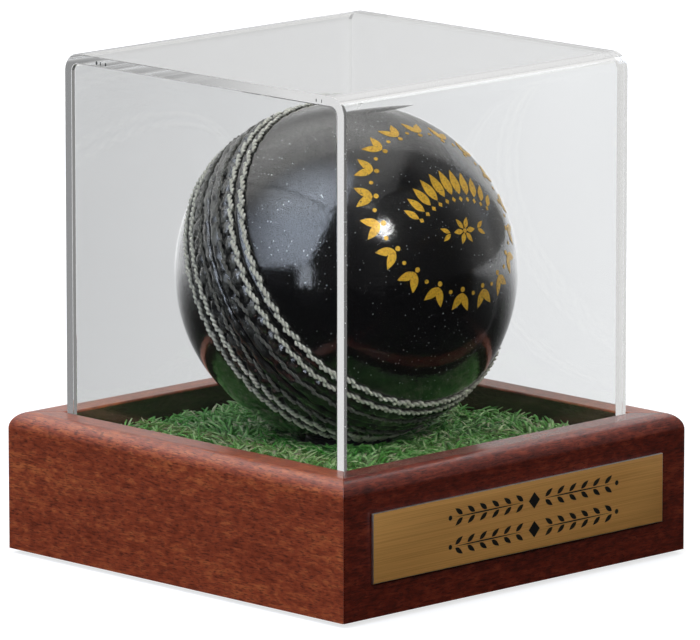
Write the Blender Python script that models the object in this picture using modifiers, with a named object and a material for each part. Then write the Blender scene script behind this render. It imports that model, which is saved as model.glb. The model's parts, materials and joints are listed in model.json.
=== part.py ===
"""A cricket ball on artificial turf, under a lift-off acrylic cover on a mitred mahogany base.

Metres, with +Z up. The origin is on the table under the middle of the base, and the plaque
faces -Y. The case is built round its ball: the cover is as wide as the ball and its side room,
the recess takes the cover, and the rails stand round the recess.
"""

import math
import random

import bmesh
import bpy
from mathutils import Matrix

# Clearances that many pieces share
fit_gap = 0.0003
glue_gap = 0.00005
cut_overrun = 0.001
weld_distance = 0.000005

# The ball, over its leather and without its stitches
ball_diameter = 0.0716
leather_thickness = 0.003
core_gap = 0.0007
pole_elevation = math.radians(31.1)
pole_turn = math.radians(1.8)

# The seam: its lips, the two dark rows that close it and the four white rows beside them
seam_gap = 0.0002
seam_lip_rise = 0.0005
seam_lip_width = 0.0017
seam_lip_slope = 0.0006
thread_gap = 0.0001
dark_row_offset = 0.0030
dark_thread_radius = 0.0004
dark_row_swing = 0.0005
dark_stitches = 52
inner_row_latitude = math.radians(10.8)
outer_row_latitude = math.radians(15.6)
white_thread_radius = 0.00042
white_row_swing = 0.0005
white_stitches = 60

# The acrylic cover
ball_side_room = 0.0043
ball_top_room = 0.00915
sheet_thickness = 0.002
cover_bend_radius = 0.004
cover_play = 0.0004
cover_seat_depth = 0.0076

# The mahogany rails
rail_height = 0.0297
rail_top_width = 0.0085
rail_foot_width = 0.0155
rail_round_radius = 0.0036
rail_arris_radius = 0.0005
rebate_depth = 0.0038

# The boards, the pads under them and the screws
turf_board_thickness = 0.003
bottom_board_thickness = 0.003
bottom_board_recess = 0.0005
foot_clearance = 0.001
pad_radius = 0.006
pad_inset = 0.0115
screw_radius = 0.0014
screw_length = 0.012
screw_head_radius = 0.0027
screw_head_height = 0.0015
screw_tip_length = 0.002
screw_recess_radius = 0.0012
screw_recess_depth = 0.0009
screw_clearance = 0.0002

# The hidden tongue across each mitre
spline_along_mitre = 0.0076
spline_across_mitre = 0.0088
spline_thickness = 0.0024
spline_height = 0.0105

# The plaque on the front rail
plaque_width = 0.0866
plaque_height = 0.0149
plaque_thickness = 0.0006
plaque_edge_bevel = 0.00012
plaque_bottom_margin = 0.0073
adhesive_thickness = 0.0002
adhesive_inset = 0.0012

# The ring that the ball stands in, which lies on the turf's backing
seat_floor = 0.0012
seat_width = 0.003
seat_stitch_gap = 0.00087
seat_chamfer = 0.0003

# The turf
turf_backing_thickness = 0.001
turf_edge_gap = 0.0006
blade_seat_gap = 0.0012
blade_pitch = 0.0043
blade_width = 0.0014
blade_height = 0.0040
blade_height_spread_share = 0.3
blade_lean = 0.0010
blade_jitter = 0.0004
blade_root_depth = 0.0005
blade_least_height = 0.0008
blade_ball_gap = 0.0004
blade_bend_share = 0.55
blade_taper_share = 0.8
turf_seed = 11

# How finely round shapes are divided
round_steps = 6
arris_steps = 2
bend_steps = 8
ball_steps = 40
ball_arc_steps = 10
core_steps = 24
core_rings = 12
lining_arc_steps = 8
screw_steps = 16
pad_steps = 20
ring_steps = 40
dish_steps = 3

# Widths, from the ball outwards
ball_radius = ball_diameter / 2
cover_inner = ball_diameter + 2 * ball_side_room
cover_width = cover_inner + 2 * sheet_thickness
recess_width = cover_width + 2 * cover_play
base_width = recess_width + 2 * rail_top_width

# Heights over the table, from the pads upwards
rail_bottom = foot_clearance
rail_top = rail_bottom + rail_height
rim_height = rail_top - cover_seat_depth
turf_board_top = rim_height - fit_gap
turf_board_bottom = turf_board_top - turf_board_thickness
ledge_height = turf_board_bottom - fit_gap
rebate_top = rail_bottom + rebate_depth
bottom_board_bottom = rail_bottom + bottom_board_recess
turf_bottom = turf_board_top + fit_gap
turf_backing_top = turf_bottom + turf_backing_thickness
seat_bottom = turf_backing_top + fit_gap
ball_centre_height = seat_bottom + seat_floor + ball_radius
cover_top = ball_centre_height + ball_radius + ball_top_room + sheet_thickness

# The ball's reach over its seam, in which it turns
white_row_reach = ball_radius + thread_gap + 2 * white_thread_radius

# The ring stands inside the outer row of stitches, where that row passes under the ball
row_distance = ball_radius * math.sin(pole_elevation - outer_row_latitude)
row_half_width = white_row_swing / 2 + white_thread_radius
seat_outer_radius = row_distance - row_half_width - seat_stitch_gap
seat_bore_radius = seat_outer_radius - seat_width

# Local x, y and z of a flat outline become the case's Y, Z and X
ACROSS = Matrix(((0, 0, 1, 0), (1, 0, 0, 0), (0, 1, 0, 0), (0, 0, 0, 1)))
QUARTER = math.pi / 2
SIDES = ("front", "right", "back", "left")
CORNERS = ("front_left", "front_right", "back_right", "back_left")


def clear_scene():
    """Removes every object that the file opens with."""
    for obj in list(bpy.data.objects):
        bpy.data.objects.remove(obj, do_unlink=True)


def new_collection(name):
    """A collection under the scene's own."""
    collection = bpy.data.collections.new(name)
    bpy.context.scene.collection.children.link(collection)
    return collection


def material(name, colour, roughness, metallic=0.0, alpha=1.0):
    """A Principled material of one colour."""
    made = bpy.data.materials.new(name)
    made.use_nodes = True
    shader = made.node_tree.nodes["Principled BSDF"]
    shader.inputs["Base Color"].default_value = (*colour, 1.0)
    shader.inputs["Roughness"].default_value = roughness
    shader.inputs["Metallic"].default_value = metallic
    shader.inputs["Alpha"].default_value = alpha
    made.diffuse_color = (*colour, alpha)
    return made


def place(name, data, finish, collection):
    """An object of this mesh or curve, in its finish."""
    obj = bpy.data.objects.new(name, data)
    if finish and not data.materials:
        data.materials.append(finish)
    collection.objects.link(obj)
    return obj


def cutter(name, data):
    """A helper that is cut out of a piece and isn't a piece itself."""
    obj = place(name, data, None, cutters)
    obj.hide_render = True
    obj.display_type = "WIRE"
    return obj


def cut(obj, tool):
    """Takes the tool's shape out of the object."""
    boolean = obj.modifiers.new("cut_" + tool.name, "BOOLEAN")
    boolean.operation = "DIFFERENCE"
    boolean.object = tool


def evaluated_mesh(obj):
    """The object's shape with its modifiers, as a new mesh in its own axes."""
    bpy.context.view_layer.update()
    graph = bpy.context.evaluated_depsgraph_get()
    return bpy.data.meshes.new_from_object(obj.evaluated_get(graph))


def welded(mesh):
    """The mesh with loose caps joined to their walls and its faces pointing out."""
    bm = bmesh.new()
    bm.from_mesh(mesh)
    bmesh.ops.remove_doubles(bm, verts=bm.verts, dist=weld_distance)
    bmesh.ops.recalc_face_normals(bm, faces=bm.faces)
    bm.to_mesh(mesh)
    bm.free()
    return mesh


def arc(centre, radius, start, end, steps):
    """Points on a circle from one angle to another, both ends included."""
    angles = [start + (end - start) * i / steps for i in range(steps + 1)]
    return [(centre[0] + radius * math.cos(a), centre[1] + radius * math.sin(a)) for a in angles]


def outline_mesh(name, points, depth):
    """A flat outline, filled on both sides and drawn out to this depth along its own z."""
    curve = bpy.data.curves.new(name, "CURVE")
    curve.dimensions = "2D"
    curve.fill_mode = "BOTH"
    curve.extrude = depth / 2
    spline = curve.splines.new("POLY")
    spline.points.add(len(points) - 1)
    for point, (x, y) in zip(spline.points, points):
        point.co = (x, y, 0.0, 1.0)
    spline.use_cyclic_u = True
    guide = place(name + "_outline", curve, None, cutters)
    mesh = welded(evaluated_mesh(guide))
    bpy.data.objects.remove(guide, do_unlink=True)
    return mesh


def box_mesh(name, size):
    """A box about its own centre."""
    mesh = bpy.data.meshes.new(name)
    bm = bmesh.new()
    bmesh.ops.create_cube(bm, size=1.0)
    bmesh.ops.scale(bm, verts=bm.verts, vec=size)
    bm.to_mesh(mesh)
    bm.free()
    return mesh


def cylinder_mesh(name, radius, height, steps):
    """An upright cylinder about its own centre."""
    mesh = bpy.data.meshes.new(name)
    bm = bmesh.new()
    bmesh.ops.create_cone(
        bm, cap_ends=True, segments=steps, radius1=radius, radius2=radius, depth=height
    )
    bm.to_mesh(mesh)
    bm.free()
    round_shading(mesh)
    return mesh


def turned_mesh(name, profile, steps, closed=False):
    """A profile of (radius, height) points, turned once about the Z axis."""
    mesh = bpy.data.meshes.new(name)
    bm = bmesh.new()
    verts = [bm.verts.new((r, 0.0, z)) for r, z in profile]
    for first, second in zip(verts, verts[1:] + verts[:1] if closed else verts[1:]):
        bm.edges.new((first, second))
    bm.to_mesh(mesh)
    bm.free()
    guide = place(name + "_profile", mesh, None, cutters)
    screw = guide.modifiers.new("turn", "SCREW")
    screw.steps = steps
    screw.render_steps = steps
    screw.use_merge_vertices = True
    screw.merge_threshold = weld_distance
    turned = evaluated_mesh(guide)
    bpy.data.objects.remove(guide, do_unlink=True)
    round_shading(turned)
    return turned


def round_shading(mesh):
    """Smooth shading that keeps the real arrises sharp."""
    mesh.shade_smooth()
    mesh.set_sharp_from_angle(angle=math.radians(35))


def bevel_edges(obj, width):
    """Breaks the arrises of a machined piece."""
    bevel = obj.modifiers.new("arris", "BEVEL")
    bevel.width = width
    bevel.segments = 1
    bevel.limit_method = "ANGLE"


def rail_profile():
    """The rail's section: distance in from its outer face, and height."""
    outer_round = arc(
        (rail_round_radius, rail_top - rail_round_radius),
        rail_round_radius, math.pi, QUARTER, round_steps,
    )
    inner_arris = arc(
        (rail_top_width - rail_arris_radius, rail_top - rail_arris_radius),
        rail_arris_radius, QUARTER, 0.0, arris_steps,
    )
    foot = [
        (rail_top_width, ledge_height),
        (rail_foot_width, ledge_height),
        (rail_foot_width, rebate_top),
        (rail_top_width, rebate_top),
        (rail_top_width, rail_bottom),
        (0.0, rail_bottom),
    ]
    return outer_round + inner_arris + foot


def mitred(mesh):
    """Cuts both ends of the front rail back to the case's diagonals."""
    bm = bmesh.new()
    bm.from_mesh(mesh)
    for side in (-1, 1):
        direction = (side / math.sqrt(2), 1 / math.sqrt(2), 0.0)
        point = [-glue_gap / 2 * part for part in direction]
        everything = bm.verts[:] + bm.edges[:] + bm.faces[:]
        cut_edges = bmesh.ops.bisect_plane(
            bm, geom=everything, dist=weld_distance,
            plane_co=point, plane_no=direction, clear_outer=True,
        )["geom_cut"]
        bmesh.ops.contextual_create(
            bm, geom=[part for part in cut_edges if isinstance(part, bmesh.types.BMEdge)]
        )
    bmesh.ops.recalc_face_normals(bm, faces=bm.faces)
    bm.to_mesh(mesh)
    bm.free()
    return mesh


def make_rails():
    """Four mitred rails, cut for the screws and the hidden tongues."""
    mesh = outline_mesh("rail", rail_profile(), base_width)
    mesh.transform(ACROSS)
    mesh.transform(Matrix.Translation((0.0, -base_width / 2, 0.0)))
    mitred(mesh)
    round_shading(mesh)
    wood = material("mahogany", (0.12, 0.032, 0.018), 0.35)
    pilots = [make_pilot_cutter(side) for side in range(4)]
    slots = [make_slot_cutter(corner) for corner in range(4)]
    for side, name in enumerate(SIDES):
        rail = place(name + "_rail", mesh, wood, case)
        rail.rotation_euler.z = side * QUARTER
        cut(rail, pilots[side])
        cut(rail, slots[side])
        cut(rail, slots[(side + 1) % 4])


def screw_place():
    """How far from the middle the board's screws stand, halfway across the rail's foot."""
    return base_width / 2 - (rail_top_width + rail_foot_width) / 2


def turned_about_case(obj, quarters, out, height):
    """Places a piece this far out from the middle, turned by quarters from the front."""
    angle = quarters * QUARTER
    obj.location = (out * math.sin(angle), -out * math.cos(angle), height)
    obj.rotation_euler.z = angle


def make_pilot_cutter(side):
    """The blind hole for a board screw in one rail."""
    depth = screw_length - bottom_board_thickness + screw_clearance + cut_overrun
    mesh = cylinder_mesh("pilot", screw_radius + screw_clearance, depth, screw_steps)
    tool = cutter(SIDES[side] + "_pilot", mesh)
    turned_about_case(tool, side, screw_place(), rebate_top - cut_overrun + depth / 2)
    return tool


def lay_tongue(obj, corner):
    """Lays a tongue, or its slot, across the mitre of one corner and halfway along it."""
    out = (base_width - rail_foot_width) / 2 * math.sqrt(2)
    place_in_corner(obj, corner, out, rail_bottom + spline_height + spline_thickness / 2)


def place_in_corner(obj, corner, out, height):
    """Places a piece this far out on a diagonal, the first of them at the front left."""
    turned_about_case(obj, corner - 1 / 2, out, height)


def make_slot_cutter(corner):
    """The slot that holds half a tongue in each of two rails."""
    size = [
        spline_across_mitre + 2 * fit_gap,
        spline_along_mitre + 2 * fit_gap,
        spline_thickness + 2 * fit_gap,
    ]
    tool = cutter(CORNERS[corner] + "_slot", box_mesh("slot", size))
    lay_tongue(tool, corner)
    return tool


def make_splines():
    """A beech tongue in each mitre."""
    size = [spline_across_mitre, spline_along_mitre, spline_thickness]
    mesh = box_mesh("mitre_spline", size)
    beech = material("beech", (0.55, 0.36, 0.2), 0.6)
    for corner, name in enumerate(CORNERS):
        spline = place("mitre_spline_" + name, mesh, beech, case)
        lay_tongue(spline, corner)


def screw_profile(grow):
    """Half a countersunk screw, point up, with its head face at height zero."""
    return [
        (0.0, screw_length + grow),
        (screw_radius + grow, screw_length - screw_tip_length + grow),
        (screw_radius + grow, screw_head_height),
        (screw_head_radius + grow, 0.0),
    ]


def make_bottom_board():
    """The board that closes the base from below, and the four screws that hold it."""
    width = recess_width - 2 * fit_gap
    ply = material("birch_plywood", (0.5, 0.36, 0.22), 0.7)
    board = place(
        "bottom_board", box_mesh("bottom_board", (width, width, bottom_board_thickness)), ply, case
    )
    board.location.z = bottom_board_bottom + bottom_board_thickness / 2
    hole_profile = screw_profile(screw_clearance) + [
        (screw_head_radius + screw_clearance, -cut_overrun),
        (0.0, -cut_overrun),
    ]
    hole = turned_mesh("screw_hole", hole_profile, screw_steps)
    recess = [(screw_recess_radius, 0.0), (0.0, screw_recess_depth)]
    screw = turned_mesh("board_screw", screw_profile(0.0) + recess, screw_steps)
    steel = material("zinc_plated_steel", (0.6, 0.6, 0.58), 0.35, 1.0)
    for side, name in enumerate(SIDES):
        tool = cutter(name + "_screw_hole", hole)
        turned_about_case(tool, side, screw_place(), bottom_board_bottom)
        cut(board, tool)
        fastener = place("board_screw_" + name, screw, steel, case)
        turned_about_case(fastener, side, screw_place(), bottom_board_bottom)


def make_pads():
    """Four felt pads under the bottom board, which the case stands on."""
    height = bottom_board_bottom - glue_gap
    mesh = cylinder_mesh("felt_pad", pad_radius, height, pad_steps)
    felt = material("black_felt", (0.02, 0.02, 0.02), 0.95)
    out = (base_width / 2 - rail_top_width - pad_inset) * math.sqrt(2)
    for corner, name in enumerate(CORNERS):
        pad = place("felt_pad_" + name, mesh, felt, case)
        place_in_corner(pad, corner, out, height / 2)


def make_turf_board():
    """The board on the ledge that carries the turf, the ball's ring and the cover's rim."""
    width = recess_width - 2 * fit_gap
    size = (width, width, turf_board_thickness)
    fibreboard = material("fibreboard", (0.38, 0.27, 0.17), 0.8)
    board = place("turf_board", box_mesh("turf_board", size), fibreboard, case)
    board.location.z = turf_board_bottom + turf_board_thickness / 2


def ball_underside(reach, distance):
    """Height of the underside of a sphere of this reach, this far from the ball's axis."""
    return ball_centre_height - math.sqrt(reach ** 2 - distance ** 2)


def make_seat_ring():
    """The black ring on the turf, dished to the ball, that keeps the ball in the middle."""
    reach = ball_radius + fit_gap
    dish_outer = seat_outer_radius - seat_chamfer
    step = (dish_outer - seat_bore_radius) / dish_steps
    radii = [seat_bore_radius + step * i for i in range(dish_steps + 1)]
    rim = ball_underside(reach, dish_outer)
    dish = [(r, ball_underside(reach, r)) for r in radii]
    outside = [
        (seat_outer_radius, rim - seat_chamfer),
        (seat_outer_radius, seat_bottom),
        (seat_bore_radius, seat_bottom),
    ]
    mesh = turned_mesh("ball_seat_ring", outside + dish, ring_steps, closed=True)
    place("ball_seat_ring", mesh, material("black_abs", (0.02, 0.02, 0.02), 0.4), case)


def make_plaque():
    """The brass plate and the adhesive film that holds it on the front rail."""
    middle = rail_bottom + plaque_bottom_margin + plaque_height / 2
    film_size = (
        plaque_width - 2 * adhesive_inset, adhesive_thickness, plaque_height - 2 * adhesive_inset
    )
    film = place(
        "plaque_adhesive", box_mesh("plaque_adhesive", film_size),
        material("adhesive_film", (0.7, 0.68, 0.6), 0.6), case,
    )
    face = -base_width / 2 - glue_gap
    film.location = (0.0, face - adhesive_thickness / 2, middle)
    plate_size = (plaque_width, plaque_thickness, plaque_height)
    plate = place(
        "plaque_plate", box_mesh("plaque_plate", plate_size),
        material("brushed_brass", (0.36, 0.22, 0.09), 0.38, 1.0), case,
    )
    back = face - adhesive_thickness - glue_gap
    plate.location = (0.0, back - plaque_thickness / 2, middle)
    bevel_edges(plate, plaque_edge_bevel)


def blade_limit(distance):
    """How high a blade may stand over the table, this far from the ball's axis."""
    reach = white_row_reach + blade_ball_gap
    near = max(distance - blade_width / 2 - blade_lean, 0.0)
    if near >= reach:
        return rail_top
    return min(ball_underside(reach, near), rail_top)


def add_blade(bm, root, height, lean, turn):
    """A three-sided blade that tapers, bends over and ends in a point."""
    lower = height * blade_bend_share
    made = bmesh.ops.create_cone(
        bm, cap_ends=True, segments=3, radius1=blade_width / 2,
        radius2=blade_width / 2 * blade_taper_share, depth=lower + blade_root_depth,
    )["verts"]
    bmesh.ops.rotate(bm, verts=made, matrix=Matrix.Rotation(turn, 3, "Z"))
    top = [vert for vert in made if vert.co.z > 0]
    bend = [part * blade_bend_share for part in lean]
    bmesh.ops.translate(bm, verts=top, vec=(bend[0], bend[1], 0.0))
    cap = next(face for face in top[0].link_faces if all(vert in top for vert in face.verts))
    tip = bmesh.ops.poke(bm, faces=[cap])["verts"][0]
    rise = height - lower
    tip.co = (lean[0], lean[1], tip.co.z + rise)
    middle = (root[0], root[1], root[2] + (lower - blade_root_depth) / 2)
    bmesh.ops.translate(bm, verts=made + [tip], vec=middle)


def blade_places():
    """Root, height, lean and turn of each blade, one in each cell of a square grid."""
    chance = random.Random(turf_seed)
    half = cover_inner / 2 - turf_edge_gap
    count = int(2 * half / blade_pitch)
    first = -(count - 1) / 2 * blade_pitch
    bare = seat_outer_radius + blade_seat_gap + blade_lean + blade_width / 2
    for row in range(count):
        for column in range(count):
            x = first + column * blade_pitch + chance.uniform(-blade_jitter, blade_jitter)
            y = first + row * blade_pitch + chance.uniform(-blade_jitter, blade_jitter)
            direction = chance.uniform(0, 2 * math.pi)
            turn = chance.uniform(0, 2 * math.pi)
            spread = chance.uniform(-blade_height_spread_share, blade_height_spread_share)
            distance = math.hypot(x, y)
            room = blade_limit(distance) - turf_backing_top
            height = min(blade_height * (1 + spread), room)
            if distance < bare or height < blade_least_height:
                continue
            lean = (blade_lean * math.cos(direction), blade_lean * math.sin(direction))
            yield (x, y, turf_backing_top), height, lean, turn


def make_turf():
    """The turf mat: a backing and its blades, as one piece."""
    width = cover_inner - 2 * turf_edge_gap
    size = (width, width, turf_backing_thickness)
    grass = material("polyethylene_turf", (0.09, 0.26, 0.06), 0.75)
    mat = place("turf_mat", box_mesh("turf_mat", size), grass, case)
    mat.location.z = (turf_bottom + turf_backing_top) / 2
    mesh = bpy.data.meshes.new("turf_blades")
    bm = bmesh.new()
    for root, height, lean, turn in blade_places():
        add_blade(bm, root, height, lean, turn)
    bm.to_mesh(mesh)
    bm.free()
    union = mat.modifiers.new("grow_blades", "BOOLEAN")
    union.operation = "UNION"
    union.object = cutter("turf_blades", mesh)


def wrap_outline():
    """The bent sheet's section: up the front wall, over the top and down the back one."""
    half = cover_width / 2
    inner_radius = cover_bend_radius - sheet_thickness
    bend_height = cover_top - cover_bend_radius
    bend_out = half - cover_bend_radius
    outside = arc((-bend_out, bend_height), cover_bend_radius, math.pi, QUARTER, bend_steps)
    outside += arc((bend_out, bend_height), cover_bend_radius, QUARTER, 0.0, bend_steps)
    inside = arc((bend_out, bend_height), inner_radius, 0.0, QUARTER, bend_steps)
    inside += arc((-bend_out, bend_height), inner_radius, QUARTER, math.pi, bend_steps)
    feet = [(half, rim_height), (half - sheet_thickness, rim_height)]
    other_feet = [(-half + sheet_thickness, rim_height), (-half, rim_height)]
    return outside + feet + inside + other_feet


def end_outline():
    """An end panel's outline, which follows the inside of the bent sheet."""
    radius = cover_bend_radius - sheet_thickness - glue_gap
    half = cover_inner / 2 - glue_gap
    bend_height = cover_top - cover_bend_radius
    bend_out = half - radius
    top = arc((-bend_out, bend_height), radius, math.pi, QUARTER, bend_steps)
    top += arc((bend_out, bend_height), radius, QUARTER, 0.0, bend_steps)
    return top + [(half, rim_height), (-half, rim_height)]


def make_cover():
    """The lift-off cover: one sheet bent into an arch, and the two ends glued inside it."""
    acrylic = material("clear_acrylic", (0.92, 0.95, 0.94), 0.03, alpha=0.25)
    wrap_mesh = outline_mesh("cover_wrap", wrap_outline(), cover_width)
    wrap_mesh.transform(ACROSS)
    round_shading(wrap_mesh)
    place("cover_wrap", wrap_mesh, acrylic, case)
    end_mesh = outline_mesh("cover_end", end_outline(), sheet_thickness)
    end_mesh.transform(ACROSS)
    round_shading(end_mesh)
    out = (cover_width - sheet_thickness) / 2
    for name, side in (("cover_left_end", -1), ("cover_right_end", 1)):
        panel = place(name, end_mesh, acrylic, case)
        panel.location.x = side * out


def cup_profile():
    """Half of the ball's leather over its seam plane, from the pole down and back inside."""
    lip = seam_gap / 2
    lip_top = ball_radius + seam_lip_rise
    slope_start = lip + seam_lip_width
    slope_end = slope_start + seam_lip_slope
    first = math.asin(slope_end / ball_radius)
    outside = arc((0.0, 0.0), ball_radius, QUARTER, first, ball_arc_steps)
    outside[0] = (0.0, ball_radius)
    lips = [
        (math.sqrt(lip_top ** 2 - slope_start ** 2), slope_start),
        (math.sqrt(lip_top ** 2 - lip ** 2), lip),
    ]
    inner_radius = ball_radius - leather_thickness
    last = math.asin(lip / inner_radius)
    inside = arc((0.0, 0.0), inner_radius, last, QUARTER, lining_arc_steps)
    inside[-1] = (0.0, inner_radius)
    return outside + lips + inside


def quarter_mesh():
    """Half a cup: one of the four pieces of leather, on the +X side of its closing seam."""
    cup = turned_mesh("leather_quarter", cup_profile(), ball_steps)
    bm = bmesh.new()
    bm.from_mesh(cup)
    everything = bm.verts[:] + bm.edges[:] + bm.faces[:]
    cut_parts = bmesh.ops.bisect_plane(
        bm, geom=everything, dist=weld_distance,
        plane_co=(glue_gap, 0.0, 0.0), plane_no=(1.0, 0.0, 0.0), clear_inner=True,
    )["geom_cut"]
    bmesh.ops.contextual_create(
        bm, geom=[part for part in cut_parts if isinstance(part, bmesh.types.BMEdge)]
    )
    bmesh.ops.recalc_face_normals(bm, faces=bm.faces)
    bm.to_mesh(cup)
    bm.free()
    round_shading(cup)
    return cup


def stitch_ring(name, offset, thread_radius, swing, stitches, thread):
    """One row of stitches: a thread that swings to and fro as it goes round the ball."""
    centre_reach = ball_radius + thread_gap + thread_radius
    curve = bpy.data.curves.new(name, "CURVE")
    curve.dimensions = "3D"
    curve.bevel_depth = thread_radius
    curve.bevel_resolution = 0
    spline = curve.splines.new("POLY")
    count = 2 * stitches
    spline.points.add(count - 1)
    for index, point in enumerate(spline.points):
        angle = 2 * math.pi * index / count
        height = offset + (swing / 2 if index % 2 else -swing / 2)
        reach = math.sqrt(centre_reach ** 2 - height ** 2)
        point.co = (reach * math.cos(angle), reach * math.sin(angle), height, 1.0)
    spline.use_cyclic_u = True
    ring = place(name, curve, thread, case)
    ring.parent = ball_frame


def make_core():
    """The ball's core of cork and yarn."""
    mesh = bpy.data.meshes.new("ball_core")
    bm = bmesh.new()
    bmesh.ops.create_uvsphere(
        bm, u_segments=core_steps, v_segments=core_rings,
        radius=ball_radius - leather_thickness - core_gap,
    )
    bm.to_mesh(mesh)
    bm.free()
    mesh.shade_smooth()
    core = place("ball_core", mesh, material("cork_and_yarn", (0.4, 0.28, 0.17), 0.9), case)
    core.parent = ball_frame


def make_leather():
    """The ball's cover: two cups, each of two pieces, closed so that their joins cross."""
    leather = material("black_leather", (0.012, 0.012, 0.013), 0.22)
    quarter = quarter_mesh()
    turns = (
        ("leather_front_left", (0.0, 0.0, 2 * QUARTER)),
        ("leather_front_right", (0.0, 0.0, 0.0)),
        ("leather_back_upper", (2 * QUARTER, 0.0, QUARTER)),
        ("leather_back_lower", (2 * QUARTER, 0.0, -QUARTER)),
    )
    for name, turn in turns:
        piece = place(name, quarter, leather, case)
        piece.parent = ball_frame
        piece.rotation_euler = turn


def make_stitches():
    """Two dark rows that close the seam and two white rows on each side of it."""
    dark = material("waxed_black_thread", (0.03, 0.028, 0.026), 0.6)
    white = material("linen_thread", (0.72, 0.7, 0.64), 0.7)
    for name, side in (("front", 1), ("back", -1)):
        stitch_ring(
            "seam_stitches_" + name, side * dark_row_offset,
            dark_thread_radius, dark_row_swing, dark_stitches, dark,
        )
        for row, latitude in (("inner", inner_row_latitude), ("outer", outer_row_latitude)):
            stitch_ring(
                f"stitch_row_{name}_{row}", side * ball_radius * math.sin(latitude),
                white_thread_radius, white_row_swing, white_stitches, white,
            )


clear_scene()
case = new_collection("cricket_ball_display_case")
cutters = new_collection("cutters")

ball_frame = bpy.data.objects.new("ball_frame", None)
case.objects.link(ball_frame)
ball_frame.location.z = ball_centre_height
ball_frame.rotation_euler = (QUARTER - pole_elevation, 0.0, pole_turn)

make_rails()
make_splines()
make_bottom_board()
make_pads()
make_turf_board()
make_seat_ring()
make_turf()
make_plaque()
make_cover()
make_core()
make_leather()
make_stitches()
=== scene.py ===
"""The looks of a cricket ball display case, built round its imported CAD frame.

Lengths are in metres and +Z is up. The plaque faces -Y. Each sub-assembly is a class whose fields
are its sizes, each finish is a frozen dataclass that makes one material, and every piece rides on
the CAD body that carries it: base, cover or ball.
"""

import json
import logging
import math
import random
from collections.abc import Iterable, Sequence
from dataclasses import dataclass
from enum import Enum
from functools import cache
from typing import Any, ClassVar

import bmesh
import bpy
from bmesh.types import BMEdge, BMFace, BMVert, BMesh
from bpy.types import Material, Mesh, Node, NodeSocket, NodeTree, Object
from mathutils import Euler, Matrix, Vector, noise

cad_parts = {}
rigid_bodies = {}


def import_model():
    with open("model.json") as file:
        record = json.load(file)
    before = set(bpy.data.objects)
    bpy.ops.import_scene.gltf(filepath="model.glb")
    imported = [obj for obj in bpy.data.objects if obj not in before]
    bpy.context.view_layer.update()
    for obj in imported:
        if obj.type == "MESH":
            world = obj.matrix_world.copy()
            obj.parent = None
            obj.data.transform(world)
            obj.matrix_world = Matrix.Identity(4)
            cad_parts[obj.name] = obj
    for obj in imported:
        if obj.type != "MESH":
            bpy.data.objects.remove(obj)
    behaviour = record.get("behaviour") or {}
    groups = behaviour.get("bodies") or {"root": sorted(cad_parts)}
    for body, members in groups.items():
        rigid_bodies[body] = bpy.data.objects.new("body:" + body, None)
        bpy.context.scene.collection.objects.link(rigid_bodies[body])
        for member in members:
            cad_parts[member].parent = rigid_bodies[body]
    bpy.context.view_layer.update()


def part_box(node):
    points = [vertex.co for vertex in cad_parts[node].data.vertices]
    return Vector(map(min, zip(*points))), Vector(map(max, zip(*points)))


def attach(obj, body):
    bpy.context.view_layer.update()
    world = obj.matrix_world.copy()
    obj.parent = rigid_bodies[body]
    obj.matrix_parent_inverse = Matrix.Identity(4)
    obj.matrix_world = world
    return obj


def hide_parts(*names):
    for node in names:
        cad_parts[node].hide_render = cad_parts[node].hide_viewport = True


log = logging.getLogger("display_case")

Pair = tuple[float, float]
Triple = tuple[float, float, float]
Settings = dict[str | int, Any] | None
Links = dict[str | int, NodeSocket | Node] | None

MM = 0.001
QUARTER = math.pi / 2
SMOOTH_BELOW = math.radians(20)
WELD = 0.000001
SMOOTH = {"interpolation_type": "SMOOTHSTEP"}
MULTIPLY = {"operation": "MULTIPLY"}
DOWN_THE_ARC = (0.0, -1.0, 0.0)
UPRIGHT = (0.0, 0.0, 1.0)


class GrainAxis(Enum):
    """The way a rail's grain runs, with the turn that brings it onto X."""

    ALONG_X = 0.0
    ALONG_Y = -QUARTER


class Motif(Enum):
    """The outlines that all the ornament is put together from, with their corner counts."""

    LEAF = 20
    LOZENGE = 4
    DOT = 16


# Helpers


def linear(code: str) -> tuple[float, float, float, float]:
    """Turns an sRGB hex colour to linear light.

    Args:
        code: The colour as "#rrggbb".

    Returns:
        Red, green, blue and an alpha of one.
    """
    channels = [int(code[i : i + 2], 16) / 255 for i in (1, 3, 5)]
    turned = [c / 12.92 if c <= 0.04045 else ((c + 0.055) / 1.055) ** 2.4 for c in channels]
    return (turned[0], turned[1], turned[2], 1.0)


def per_metre(spacing_mm: float) -> float:
    """Gives a pattern's scale: how many spacings of this many millimetres lie in a metre."""
    return 1.0 / (spacing_mm * MM)


def set_node(node: Node, settings: Settings, links: Links) -> None:
    """Gives a shader node its settings and links.

    Args:
        node: The node.
        settings: Values by the node's own attribute, or by the name or number of an input.
        links: What feeds its inputs, by name or number: an output, or a node for its first one in use.
    """
    for key, value in (settings or {}).items():
        if isinstance(key, str) and hasattr(node, key):
            setattr(node, key, value)
        else:
            node.inputs[key].default_value = value
    for key, source in (links or {}).items():
        if isinstance(source, Node):
            source = next(output for output in source.outputs if output.enabled)
        node.id_data.links.new(source, node.inputs[key])


def add_node(tree: NodeTree, kind: str, settings: Settings = None, links: Links = None) -> Node:
    """Adds a shader node with its settings and links.

    Args:
        tree: The node tree it goes into.
        kind: Blender's name for the kind of node, less the "ShaderNode" that all begin with.
        settings: Its values, as set_node takes them.
        links: What feeds it, as set_node takes it.

    Returns:
        The new node.
    """
    node = tree.nodes.new("ShaderNode" + kind)
    set_node(node, settings, links)
    return node


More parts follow.
